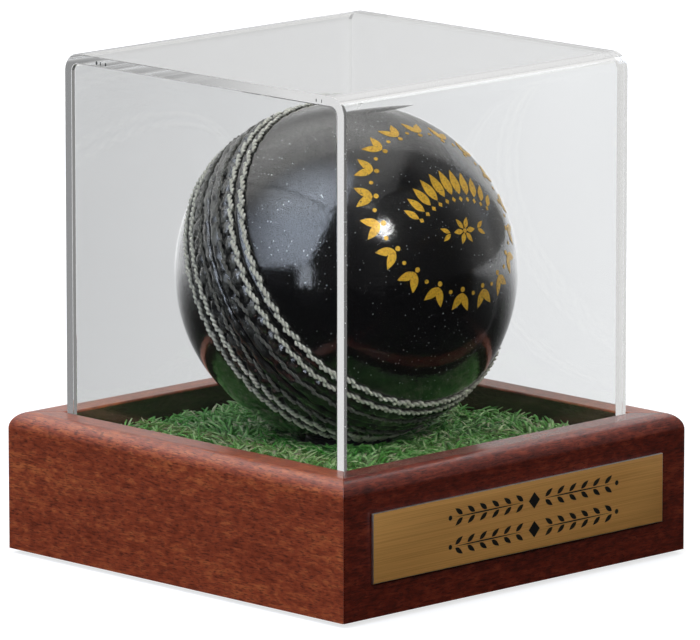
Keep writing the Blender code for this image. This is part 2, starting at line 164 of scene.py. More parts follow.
def start_material(name: str) -> tuple[Material, NodeTree, Node]:
    """Makes a material with a Principled shader on its output.

    Args:
        name: What the finish is called.

    Returns:
        The material, its node tree and the shader.
    """
    made = bpy.data.materials.new(name)
    made.use_nodes = True
    tree = made.node_tree
    tree.nodes.clear()
    output = add_node(tree, "OutputMaterial")
    shader = add_node(tree, "BsdfPrincipled")
    tree.links.new(shader.outputs["BSDF"], output.inputs["Surface"])
    return made, tree, shader


def ramp(node: Node, stops: Sequence[tuple[float, str]]) -> None:
    """Gives a colour ramp its stops.

    Args:
        node: The colour ramp.
        stops: Places from 0 to 1, each with its sRGB hex colour.
    """
    elements = node.color_ramp.elements
    while len(elements) < len(stops):
        elements.new(0.5)
    for element, (place, code) in zip(elements, stops):
        element.position = place
        element.color = linear(code)


@cache
def node_box(node: str) -> tuple[Vector, Vector]:
    """Gives a CAD node's box, remembered from the first time it is asked for."""
    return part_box(node)


def shade(mesh: Mesh, angle: float = SMOOTH_BELOW) -> None:
    """Shades a mesh smooth and keeps the arrises over this angle sharp."""
    mesh.shade_smooth()
    mesh.set_sharp_from_angle(angle=angle)


def make_piece(
    name: str,
    bm: BMesh,
    finishes: Sequence[Material],
    body: str,
    replaces: Sequence[str] = (),
    angle: float = SMOOTH_BELOW,
) -> Object:
    """Turns a bmesh into a finished piece that rides on a CAD body.

    Args:
        name: The piece's name.
        bm: Its shape, in place. It is freed.
        finishes: Its materials, in the order of its faces' material numbers.
        body: The CAD body that carries it.
        replaces: The CAD nodes that it stands for.
        angle: Arrises over this angle are shaded sharp.

    Returns:
        The piece's object.
    """
    mesh = bpy.data.meshes.new(name)
    bm.to_mesh(mesh)
    bm.free()
    for finish in finishes:
        mesh.materials.append(finish)
    shade(mesh, angle)
    obj = bpy.data.objects.new(name, mesh)
    bpy.context.scene.collection.objects.link(obj)
    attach(obj, body)
    if replaces:
        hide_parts(*replaces)
    log.info("%s: %d faces on %s", name, len(mesh.polygons), body)
    return obj


def carve(obj: Object, cutter: BMesh) -> None:
    """Cuts a shape out of a piece and keeps the result as its mesh.

    Args:
        obj: The piece.
        cutter: What is taken out, in place. It is freed.
    """
    mesh = bpy.data.meshes.new("cutter")
    bmesh.ops.recalc_face_normals(cutter, faces=cutter.faces)
    cutter.to_mesh(mesh)
    cutter.free()
    tool = bpy.data.objects.new("cutter", mesh)
    bpy.context.scene.collection.objects.link(tool)
    boolean = obj.modifiers.new("carve", "BOOLEAN")
    boolean.operation = "DIFFERENCE"
    boolean.solver = "EXACT"
    boolean.object = tool
    bpy.context.view_layer.update()
    graph = bpy.context.evaluated_depsgraph_get()
    carved = bpy.data.meshes.new_from_object(obj.evaluated_get(graph))
    obj.modifiers.clear()
    obj.data = carved
    shade(carved)
    bpy.data.objects.remove(tool, do_unlink=True)


def weigh_normals(obj: Object) -> None:
    """Keeps the broad flat faces optically flat beside their softened edges."""
    weighted = obj.modifiers.new("flat_faces", "WEIGHTED_NORMAL")
    weighted.keep_sharp = True
    weighted.weight = 100


def add_box(bm: BMesh, low: Sequence[float], high: Sequence[float]) -> list[BMVert]:
    """Adds a box between two corners.

    Args:
        bm: The mesh it goes into.
        low: Its lowest corner.
        high: Its highest corner.

    Returns:
        Its eight corners.
    """
    verts = bmesh.ops.create_cube(bm, size=1.0)["verts"]
    size = [b - a for a, b in zip(low, high)]
    middle = [(a + b) / 2 for a, b in zip(low, high)]
    bmesh.ops.scale(bm, verts=verts, vec=size)
    bmesh.ops.translate(bm, verts=verts, vec=middle)
    return verts


def add_prism(bm: BMesh, corners: Sequence[Vector], depth: Vector) -> None:
    """Draws a flat outline out into a closed solid.

    Args:
        bm: The mesh it goes into.
        corners: The outline's corners, in order.
        depth: How far and which way it is drawn.
    """
    face = bm.faces.new([bm.verts.new(corner) for corner in corners])
    drawn = bmesh.ops.extrude_face_region(bm, geom=[face])["geom"]
    moved = [part for part in drawn if isinstance(part, BMVert)]
    bmesh.ops.translate(bm, verts=moved, vec=depth)
    bmesh.ops.recalc_face_normals(bm, faces=bm.faces)


def bevel(bm: BMesh, edges: Iterable[BMEdge], width: float, segments: int) -> None:
    """Rounds edges to this radius.

    Args:
        bm: The mesh that has them.
        edges: The edges.
        width: The radius.
        segments: How many flats the round has.
    """
    bmesh.ops.bevel(
        bm, geom=list(edges), offset=width, offset_type="OFFSET", segments=segments,
        profile=0.5, affect="EDGES", material=-1, clamp_overlap=True,
    )


def spin(
    bm: BMesh, geom: Sequence[Any], axis: Sequence[float], angle: float, steps: int,
    use_merge: bool = False,
) -> list[Any]:
    """Turns parts about an axis through the origin and fills in what they sweep out.

    Args:
        bm: The mesh that has them.
        geom: The corners, with their edges if a surface is wanted.
        axis: The axis.
        angle: How far they turn, in radians.
        steps: In how many steps.
        use_merge: Whether the last step is joined to the first, as a full turn needs.

    Returns:
        The parts at the last step.
    """
    return bmesh.ops.spin(
        bm, geom=geom, cent=(0.0, 0.0, 0.0), axis=axis, dvec=(0.0, 0.0, 0.0), angle=angle, steps=steps,
        use_merge=use_merge,
    )["geom_last"]


def sweep(bm: BMesh, points: Sequence[Vector], radii: Sequence[float], sides: int) -> None:
    """Draws a closed round tube through points.

    Args:
        bm: The mesh it goes into.
        points: The line that it follows.
        radii: Its radius at each point.
        sides: How many flats it has round it.
    """
    frames = []
    for index, (point, radius) in enumerate(zip(points, radii)):
        ahead = points[min(index + 1, len(points) - 1)] - points[max(index - 1, 0)]
        turn = ahead.to_track_quat("Z", "Y").to_matrix().to_4x4()
        frames.append(Matrix.Translation(point) @ turn @ Matrix.Diagonal((radius, radius, radius, 1.0)))
    ring = bmesh.ops.create_circle(bm, cap_ends=True, segments=sides, radius=1.0)["verts"]
    bmesh.ops.transform(bm, matrix=frames[0], verts=ring)
    face = ring[0].link_faces[0]
    for before, after in zip(frames, frames[1:]):
        drawn = bmesh.ops.extrude_face_region(bm, geom=[face, *face.edges])["geom"]
        face = next(part for part in drawn if isinstance(part, BMFace))
        bmesh.ops.transform(bm, matrix=after @ before.inverted(), verts=face.verts)


def add_motif(bm: BMesh, motif: Motif, length: float, width: float, place: Matrix) -> BMFace:
    """Adds one flat ornament outline, its length along its own X.

    Args:
        bm: The mesh it goes into.
        motif: Which outline.
        length: Its length.
        width: Its width.
        place: Where it goes, from its own middle.

    Returns:
        Its face.
    """
    verts = bmesh.ops.create_circle(bm, cap_ends=True, segments=motif.value, radius=1.0)["verts"]
    if motif is Motif.LEAF:
        for vert in verts:
            vert.co.y *= math.sqrt(max(1.0 - vert.co.x**2, 0.0)) * (1.0 - 0.3 * vert.co.x)
    bmesh.ops.scale(bm, verts=verts, vec=(length / 2, width / 2, 1.0))
    bmesh.ops.transform(bm, matrix=place, verts=verts)
    return verts[0].link_faces[0]


# Finishes


@dataclass(frozen=True)
class Mahogany:
    """Satin-lacquered mahogany, planed and mitred.

    Fine dark pores run as short dashes along the grain, over slow bands of red and brown, under a
    clear coat that gives the rounded edge its soft pale sheen.
    """

    name: str
    grain: GrainAxis
    board: int
    dark: str = "#672610"
    middle: str = "#8a3b20"
    light: str = "#ab5a30"
    pore: str = "#2a0f0b"
    coat: float = 1.0
    coat_roughness: float = 0.3
    coat_ior: float = 1.5
    band_mm: Pair = (38.0, 6.0)
    streak_mm: Pair = (6.0, 0.5)
    mottle_mm: Pair = (2.6, 1.3)
    pore_mm: Pair = (1.5, 0.24)
    board_shift: float = 0.23
    pore_depth: float = 0.00004

    def build(self) -> Material:
        """Makes the material."""
        made, tree, shader = start_material(self.name)
        coords = add_node(tree, "TexCoord").outputs["Object"]
        turned = add_node(
            tree, "Mapping",
            {"Rotation": (0.0, 0.0, self.grain.value), "Location": (self.board * self.board_shift,) * 3},
            {"Vector": coords},
        )
        layers = {}
        spacings = {
            "band": self.band_mm, "streak": self.streak_mm, "mottle": self.mottle_mm, "pore": self.pore_mm
        }
        for label, (along, across) in spacings.items():
            scaled = add_node(
                tree, "Mapping", {"Scale": (per_metre(along), per_metre(across), per_metre(across))},
                {"Vector": turned},
            )
            detail = 4.0 if label == "band" else 2.5
            layers[label] = add_node(
                tree, "TexNoise", {"Scale": 1.0, "Detail": detail, "Roughness": 0.55, "Distortion": 0.35},
                {"Vector": scaled},
            )
        figure = add_node(
            tree, "Mix", {"data_type": "FLOAT", 0: 0.45}, {2: layers["band"], 3: layers["streak"]},
        )
        clouded = add_node(tree, "Mix", {"data_type": "FLOAT", 0: 0.42}, {2: figure, 3: layers["mottle"]})
        tones = add_node(tree, "ValToRGB", None, {"Fac": clouded})
        ramp(tones, [(0.36, self.dark), (0.5, self.middle), (0.64, self.light)])
        pores = add_node(
            tree, "MapRange", {**SMOOTH, "From Min": 0.5, "From Max": 0.64}, {"Value": layers["pore"]},
        )
        darker = add_node(tree, "Math", {"operation": "MULTIPLY", 1: 0.62}, {0: pores})
        colour = add_node(tree, "Mix", {"data_type": "RGBA", 7: linear(self.pore)}, {0: darker, 6: tones})
        dips = add_node(
            tree, "Bump", {"invert": True, "Strength": 0.5, "Distance": self.pore_depth}, {"Height": pores},
        )
        sheen = add_node(tree, "MapRange", {"To Min": 0.38, "To Max": 0.55}, {"Value": layers["streak"]})
        set_node(
            shader,
            {
                "Specular IOR Level": 0.15, "Coat Weight": self.coat, "Coat IOR": self.coat_ior,
                "Coat Roughness": self.coat_roughness,
            },
            {"Base Color": colour, "Roughness": sheen, "Normal": dips},
        )
        return made


@dataclass(frozen=True)
class PlainWood:
    """Sawn or pressed board without lacquer: beech, birch plywood, fibreboard, or the rebate, dark with stain
    and painted shade.

    A soft grain or a mottle of fibres, matt all over.
    """

    name: str
    dark: str
    light: str
    grain_mm: Triple
    roughness: float = 0.75

    def build(self) -> Material:
        """Makes the material."""
        made, tree, shader = start_material(self.name)
        coords = add_node(tree, "TexCoord").outputs["Object"]
        scaled = add_node(
            tree, "Mapping", {"Scale": tuple(per_metre(size) for size in self.grain_mm)}, {"Vector": coords},
        )
        fibres = add_node(
            tree, "TexNoise", {"Scale": 1.0, "Detail": 5.0, "Roughness": 0.65, "Distortion": 0.3},
            {"Vector": scaled},
        )
        tones = add_node(tree, "ValToRGB", None, {"Fac": fibres})
        ramp(tones, [(0.3, self.dark), (0.7, self.light)])
        raised = add_node(tree, "Bump", {"Strength": 0.3, "Distance": 0.00005}, {"Height": fibres})
        set_node(
            shader, {"Roughness": self.roughness, "Specular IOR Level": 0.2},
            {"Base Color": tones, "Normal": raised},
        )
        return made


@dataclass(frozen=True)
class BrushedMetal:
    """Rolled sheet or plated steel with a long straight brushing.

    The fine scratches stretch the highlights and vary the tone from line to line.
    """

    name: str
    colour: str
    shadow: str
    brush_mm: Triple
    roughness: Pair = (0.3, 0.42)
    anisotropy: float = 0.4
    metallic: float = 1.0
    scratch_depth: float = 0.000004

    def build(self) -> Material:
        """Makes the material."""
        made, tree, shader = start_material(self.name)
        coords = add_node(tree, "TexCoord").outputs["Object"]
        scaled = add_node(
            tree, "Mapping", {"Scale": tuple(per_metre(size) for size in self.brush_mm)}, {"Vector": coords},
        )
        lines = add_node(
            tree, "TexNoise", {"Scale": 1.0, "Detail": 3.0, "Roughness": 0.6}, {"Vector": scaled},
        )
        tones = add_node(tree, "ValToRGB", None, {"Fac": lines})
        ramp(tones, [(0.3, self.shadow), (0.62, self.colour)])
        gloss = add_node(
            tree, "MapRange", {"To Min": self.roughness[0], "To Max": self.roughness[1]}, {"Value": lines},
        )
        scratches = add_node(
            tree, "Bump", {"Strength": 0.4, "Distance": self.scratch_depth}, {"Height": lines},
        )
        set_node(
            shader, {"Metallic": self.metallic, "Anisotropic": self.anisotropy},
            {"Base Color": tones, "Roughness": gloss, "Normal": scratches},
        )
        return made


@dataclass(frozen=True)
class SolidPlastic:
    """Filled enamel, moulded plastic or adhesive film.

    One colour with a faint mottle, and a fine moulded or dried texture.
    """

    name: str
    colour: str
    mottle: str
    roughness: float
    texture_mm: float = 0.5
    texture_depth: float = 0.00001

    def build(self) -> Material:
        """Makes the material."""
        made, tree, shader = start_material(self.name)
        coords = add_node(tree, "TexCoord").outputs["Object"]
        grit = add_node(
            tree, "TexNoise", {"Scale": per_metre(self.texture_mm), "Detail": 3.0}, {"Vector": coords},
        )
        tones = add_node(tree, "ValToRGB", None, {"Fac": grit})
        ramp(tones, [(0.35, self.mottle), (0.65, self.colour)])
        raised = add_node(tree, "Bump", {"Strength": 0.4, "Distance": self.texture_depth}, {"Height": grit})
        set_node(shader, {"Roughness": self.roughness}, {"Base Color": tones, "Normal": raised})
        return made


@dataclass(frozen=True)
class TurfFibre:
    """Extruded polyethylene grass fibre.

    Each blade has its own green, with a few straw-dry ones, and a dull waxy shine. Towards the
    root every blade turns dark green: painted shade deep in the pile.
    """

    name: str = "polyethylene_turf_fibre"
    # The dark green at every blade's root is painted shade deep in the pile.
    root: str = "#2e6424"
    deep: str = "#449834"
    middle: str = "#82cb68"
    pale: str = "#d0eab0"
    straw: str = "#dcdfb8"

    def build(self) -> Material:
        """Makes the material. It reads each blade's shade and height from the mesh."""
        made, tree, shader = start_material(self.name)
        shade_of_blade = add_node(tree, "Attribute", {"attribute_name": "blade_shade"})
        height = add_node(tree, "Attribute", {"attribute_name": "blade_height"})
        tones = add_node(tree, "ValToRGB", None, {"Fac": shade_of_blade.outputs["Fac"]})
        ramp(
            tones,
            [(0.0, self.deep), (0.45, self.middle), (0.8, self.pale), (0.93, self.pale), (0.96, self.straw)],
        )
        # Darker towards the root: painted shade deep in the pile.
        rise = add_node(
            tree, "MapRange", {"From Min": 0.0, "From Max": 0.75}, {"Value": height.outputs["Fac"]}
        )
        colour = add_node(tree, "Mix", {"data_type": "RGBA", 6: linear(self.root)}, {0: rise, 7: tones})
        set_node(shader, {"Roughness": 0.48}, {"Base Color": colour})
        return made


@dataclass(frozen=True)
class Cloth:
    """Needle felt, woven turf backing, or the yarn that binds a ball's core.

    A matted or crossed surface of short threads that scatters the light.
    """

    name: str
    dark: str
    light: str
    thread_mm: float
    sheen: float = 0.2

    def build(self) -> Material:
        """Makes the material."""
        made, tree, shader = start_material(self.name)
        coords = add_node(tree, "TexCoord").outputs["Object"]
        threads = add_node(
            tree, "TexVoronoi", {"Scale": per_metre(self.thread_mm), "Randomness": 0.9}, {"Vector": coords},
        )
        fuzz = add_node(
            tree, "TexNoise", {"Scale": per_metre(self.thread_mm / 2), "Detail": 4.0}, {"Vector": coords},
        )
        blend = add_node(tree, "Mix", {"data_type": "FLOAT", 0: 0.5}, {2: threads, 3: fuzz})
        tones = add_node(tree, "ValToRGB", None, {"Fac": blend})
        ramp(tones, [(0.25, self.dark), (0.6, self.light)])
        raised = add_node(tree, "Bump", {"Strength": 0.8, "Distance": 0.0001}, {"Height": blend})
        set_node(
            shader, {"Roughness": 0.95, "Sheen Weight": self.sheen, "Sheen Roughness": 0.5},
            {"Base Color": tones, "Normal": raised},
        )
        return made


@dataclass(frozen=True)
class ClearAcrylic:
    """Cast acrylic sheet with flame-polished edges.

    Clear, with a painted glow: its faces give off light of their own to rays that have bounced
    inside the sheet, brighter towards one side, in place of the light that runs along inside the
    sheet to its cut edges. Lamps shine through it, so that what is inside is lit as it is in the
    real case.
    """

    name: str = "clear_cast_acrylic"
    colour: str = "#fdfdfc"
    ior: float = 1.49
    clarity: float = 1.0
    roughness: float = 0.0
    # The painted glow: its levels, the way it brightens, over what span, and after how many bounces inside
    # the sheet it shows.
    painted_glow: Pair = (0.26, 0.76)
    painted_glow_towards: Triple = (0.65, -1.0, 0.0)
    painted_glow_span: Pair = (-0.045, 0.008)
    painted_glow_after: float = 4.5

    def build(self) -> Material:
        """Makes the material."""
        made, tree, shader = start_material(self.name)
        set_node(
            shader,
            {
                "Base Color": linear(self.colour), "Roughness": self.roughness, "IOR": self.ior,
                "Transmission Weight": self.clarity,
            },
            None,
        )
        clear = add_node(tree, "BsdfTransparent", {"Color": linear(self.colour)})
        rays = add_node(tree, "LightPath")
        trapped = add_node(
            tree, "Math", {"operation": "GREATER_THAN", 1: self.painted_glow_after},
            {0: rays.outputs["Glossy Depth"]},
        )
        coords = add_node(tree, "TexCoord").outputs["Object"]
        across = add_node(
            tree, "VectorMath", {"operation": "DOT_PRODUCT", 1: self.painted_glow_towards}, {0: coords},
        )
        level = add_node(
            tree, "MapRange",
            {
                "From Min": self.painted_glow_span[0], "From Max": self.painted_glow_span[1],
                "To Min": self.painted_glow[0], "To Max": self.painted_glow[1],
            },
            {"Value": across},
        )
        # Painted glow, in place of the light that runs along inside the sheet.
        guided = add_node(tree, "Math", MULTIPLY, {0: trapped, 1: level})
        set_node(shader, {"Emission Color": (1.0, 1.0, 1.0, 1.0)}, {"Emission Strength": guided})
        made.cycles.emission_sampling = "NONE"
        lit = add_node(
            tree, "MixShader", None,
            {0: rays.outputs["Is Shadow Ray"], 1: shader.outputs["BSDF"], 2: clear.outputs["BSDF"]},
        )
        output = next(node for node in tree.nodes if node.type == "OUTPUT_MATERIAL")
        tree.links.new(lit.outputs["Shader"], output.inputs["Surface"])
        return made


@dataclass(frozen=True)
class LacqueredLeather:
    """Alum-tanned black leather, waxed and lacquered to a high gloss.

    The lacquer lies unevenly over the hide, so reflections break up into patches. Tiny bright specks
    on it are painted glints of the lacquer. The hollows along the stitching are duller and a little
    greyer with dirt, and the lumps raised beside the seam are grey, more so towards the top: dust,
    with a painted sheen.
    """

    centre: Vector
    pole: Vector
    radius: float
    name: str = "lacquered_black_leather"
    hide: str = "#050506"
    hollow: str = "#0c0b0a"
    dust_and_sheen: str = "#6f6f69"
    painted_glint: str = "#989da0"
    dust_and_sheen_band: Pair = (0.0066, 0.0058)

    def build(self) -> Material:
        """Makes the material."""
        made, tree, shader = start_material(self.name)
        coords = add_node(tree, "TexCoord").outputs["Object"]
        from_centre = add_node(tree, "VectorMath", {"operation": "SUBTRACT", 1: self.centre}, {0: coords})
        reach = add_node(tree, "VectorMath", {"operation": "LENGTH"}, {0: from_centre})
        hollow = add_node(
            tree, "MapRange",
            {**SMOOTH, "From Min": self.radius - 0.00005, "From Max": self.radius - 0.00045},
            {"Value": reach},
        )
        uneven = add_node(
            tree, "TexNoise", {"Scale": per_metre(3.4), "Detail": 3.5, "Roughness": 0.62},
            {"Vector": coords},
        )
        spatter = add_node(
            tree, "TexNoise", {"Scale": per_metre(0.85), "Detail": 2.0, "Roughness": 0.6},
            {"Vector": coords},
        )
        height = add_node(tree, "VectorMath", {"operation": "DOT_PRODUCT", 1: self.pole}, {0: from_centre})
        from_seam = add_node(tree, "Math", {"operation": "ABSOLUTE"}, {0: height})
        by_seam = add_node(
            tree, "MapRange", {**SMOOTH, "From Min": self.dust_and_sheen_band[0], "From Max": self.dust_and_sheen_band[1]},
            {"Value": from_seam},
        )
        # Grey on the raised lumps beside the seam, more so towards the top: dust with a painted sheen.
        smears = add_node(
            tree, "TexNoise", {"Scale": per_metre(2.6), "Detail": 3.0, "Roughness": 0.6}, {"Vector": coords},
        )
        raised = add_node(
            tree, "MapRange",
            {**SMOOTH, "From Min": self.radius - 0.00012, "From Max": self.radius + 0.00022},
            {"Value": reach, "To Max": by_seam},
        )
        place = add_node(tree, "SeparateXYZ", None, {"Vector": from_centre})
        dust_and_sheen_towards_top = add_node(
            tree, "MapRange", {"From Min": -self.radius * 0.6, "From Max": self.radius * 0.6, "To Min": 0.0},
            {"Value": place.outputs["Z"], "To Max": raised},
        )
        dust_and_sheen_mask = add_node(
            tree, "MapRange", {**SMOOTH, "From Min": 0.36, "From Max": 0.7},
            {"Value": smears, "To Max": dust_and_sheen_towards_top},
        )
        pebble = add_node(
            tree, "TexVoronoi", {"Scale": per_metre(0.75), "feature": "F1"}, {"Vector": coords},
        )
        # Painted glints: tiny bright specks in patches, in place of glints off the rough lacquer.
        dust_and_sheen = add_node(
            tree, "TexVoronoi", {"Scale": per_metre(0.85), "Randomness": 1.0}, {"Vector": coords},
        )
        each = add_node(tree, "SeparateColor", None, {"Color": dust_and_sheen.outputs["Color"]})
        size = add_node(tree, "MapRange", {"To Min": 0.02, "To Max": 0.16}, {"Value": each.outputs["Red"]})
        dots = add_node(tree, "Math", {"operation": "LESS_THAN"}, {0: dust_and_sheen, 1: size})
        patches = add_node(tree, "TexNoise", {"Scale": per_metre(9.0), "Detail": 2.0}, {"Vector": coords})
        glint_patches = add_node(tree, "Math", {"operation": "GREATER_THAN", 1: 0.47}, {0: patches})
        painted_glints = add_node(tree, "Math", MULTIPLY, {0: dots, 1: glint_patches})
        worn = add_node(
            tree, "Mix", {"data_type": "RGBA", 6: linear(self.hide), 7: linear(self.hollow)}, {0: hollow},
        )
        dust_and_sheen_colour = add_node(tree, "Mix", {"data_type": "RGBA", 7: linear(self.dust_and_sheen)}, {0: dust_and_sheen_mask, 6: worn})
        colour = add_node(
            tree, "Mix", {"data_type": "RGBA", 7: linear(self.painted_glint)}, {0: painted_glints, 6: dust_and_sheen_colour},
        )
        ripple = add_node(tree, "Bump", {"Strength": 0.35, "Distance": 0.0001}, {"Height": uneven})
        splash = add_node(
            tree, "Bump", {"Strength": 0.55, "Distance": 0.00003}, {"Height": spatter, "Normal": ripple},
        )
        grain = add_node(
            tree, "Bump", {"Strength": 0.12, "Distance": 0.00004}, {"Height": pebble, "Normal": splash},
        )
        dull = add_node(tree, "Math", {"operation": "MAXIMUM"}, {0: hollow, 1: dust_and_sheen_mask})
        gloss = add_node(tree, "MapRange", {"To Min": 0.12, "To Max": 0.6}, {"Value": dull})
        lacquer = add_node(tree, "MapRange", {"To Min": 1.0, "To Max": 0.35}, {"Value": dull})
        set_node(
            shader,
            {"Coat Roughness": 0.06},
            {
                "Base Color": colour, "Roughness": gloss, "Coat Weight": lacquer, "Normal": grain,
                "Coat Normal": grain,
            },
        )
        return made


@dataclass(frozen=True)
class Thread:
    """Twisted linen thread, waxed and handled.

    Pale on its crowns and grey between the plies and down by the leather: dirt and wax, with
    painted shade. The black thread's grey crowns are dust with a painted highlight.
    """

    centre: Vector
    inner: float
    outer: float
    name: str = "linen_thread"
    dirt_and_shade: str = "#4a4941"
    crown_and_sheen: str = "#f2f0e2"
    roughness: float = 0.75

    def build(self) -> Material:
        """Makes the material."""
        made, tree, shader = start_material(self.name)
        coords = add_node(tree, "TexCoord").outputs["Object"]
        from_centre = add_node(tree, "VectorMath", {"operation": "SUBTRACT", 1: self.centre}, {0: coords})
        reach = add_node(tree, "VectorMath", {"operation": "LENGTH"}, {0: from_centre})
        # Paler on the crowns, darker low down: dirt with painted shade below, and on the black thread dust
        # with a painted highlight on the crowns.
        crown = add_node(
            tree, "MapRange", {"From Min": self.inner, "From Max": self.outer}, {"Value": reach},
        )
        lint = add_node(
            tree, "TexNoise", {"Scale": per_metre(0.5), "Detail": 4.0, "Roughness": 0.7}, {"Vector": coords},
        )
        wear = add_node(
            tree, "MapRange", {"From Min": 0.35, "From Max": 0.65, "To Min": 0.65, "To Max": 1.1},
            {"Value": lint},
        )
        tone = add_node(tree, "Math", {"operation": "MULTIPLY", "use_clamp": True}, {0: crown, 1: wear})
        colour = add_node(
            tree, "Mix", {"data_type": "RGBA", 6: linear(self.dirt_and_shade), 7: linear(self.crown_and_sheen)}, {0: tone},
        )
        raised = add_node(tree, "Bump", {"Strength": 0.5, "Distance": 0.00005}, {"Height": lint})
        set_node(shader, {"Roughness": self.roughness}, {"Base Color": colour, "Normal": raised})
        return made


@dataclass(frozen=True)
class GoldFoil:
    """Hot-stamped gold foil, rubbed a little.

    Bright yellow gold that has flaked to the black leather in small spots.
    """

    name: str = "stamped_gold_foil"
    gold: str = "#e6b52f"
    shadow: str = "#b98a1e"
    bare: str = "#141210"

    def build(self) -> Material:
        """Makes the material."""
        made, tree, shader = start_material(self.name)
        coords = add_node(tree, "TexCoord").outputs["Object"]
        rub = add_node(
            tree, "TexNoise", {"Scale": per_metre(0.55), "Detail": 3.0, "Roughness": 0.6},
            {"Vector": coords},
        )
        flakes = add_node(tree, "MapRange", {**SMOOTH, "From Min": 0.6, "From Max": 0.68}, {"Value": rub})
        tones = add_node(tree, "ValToRGB", None, {"Fac": rub})
        ramp(tones, [(0.35, self.shadow), (0.55, self.gold)])
        colour = add_node(tree, "Mix", {"data_type": "RGBA", 7: linear(self.bare)}, {0: flakes, 6: tones})
        metal = add_node(tree, "MapRange", {"To Min": 0.35, "To Max": 0.0}, {"Value": flakes})
        set_node(
            shader, {"Roughness": 0.42, "Coat Weight": 0.4, "Coat Roughness": 0.15},
            {"Base Color": colour, "Metallic": metal},
        )
        return made


# The base


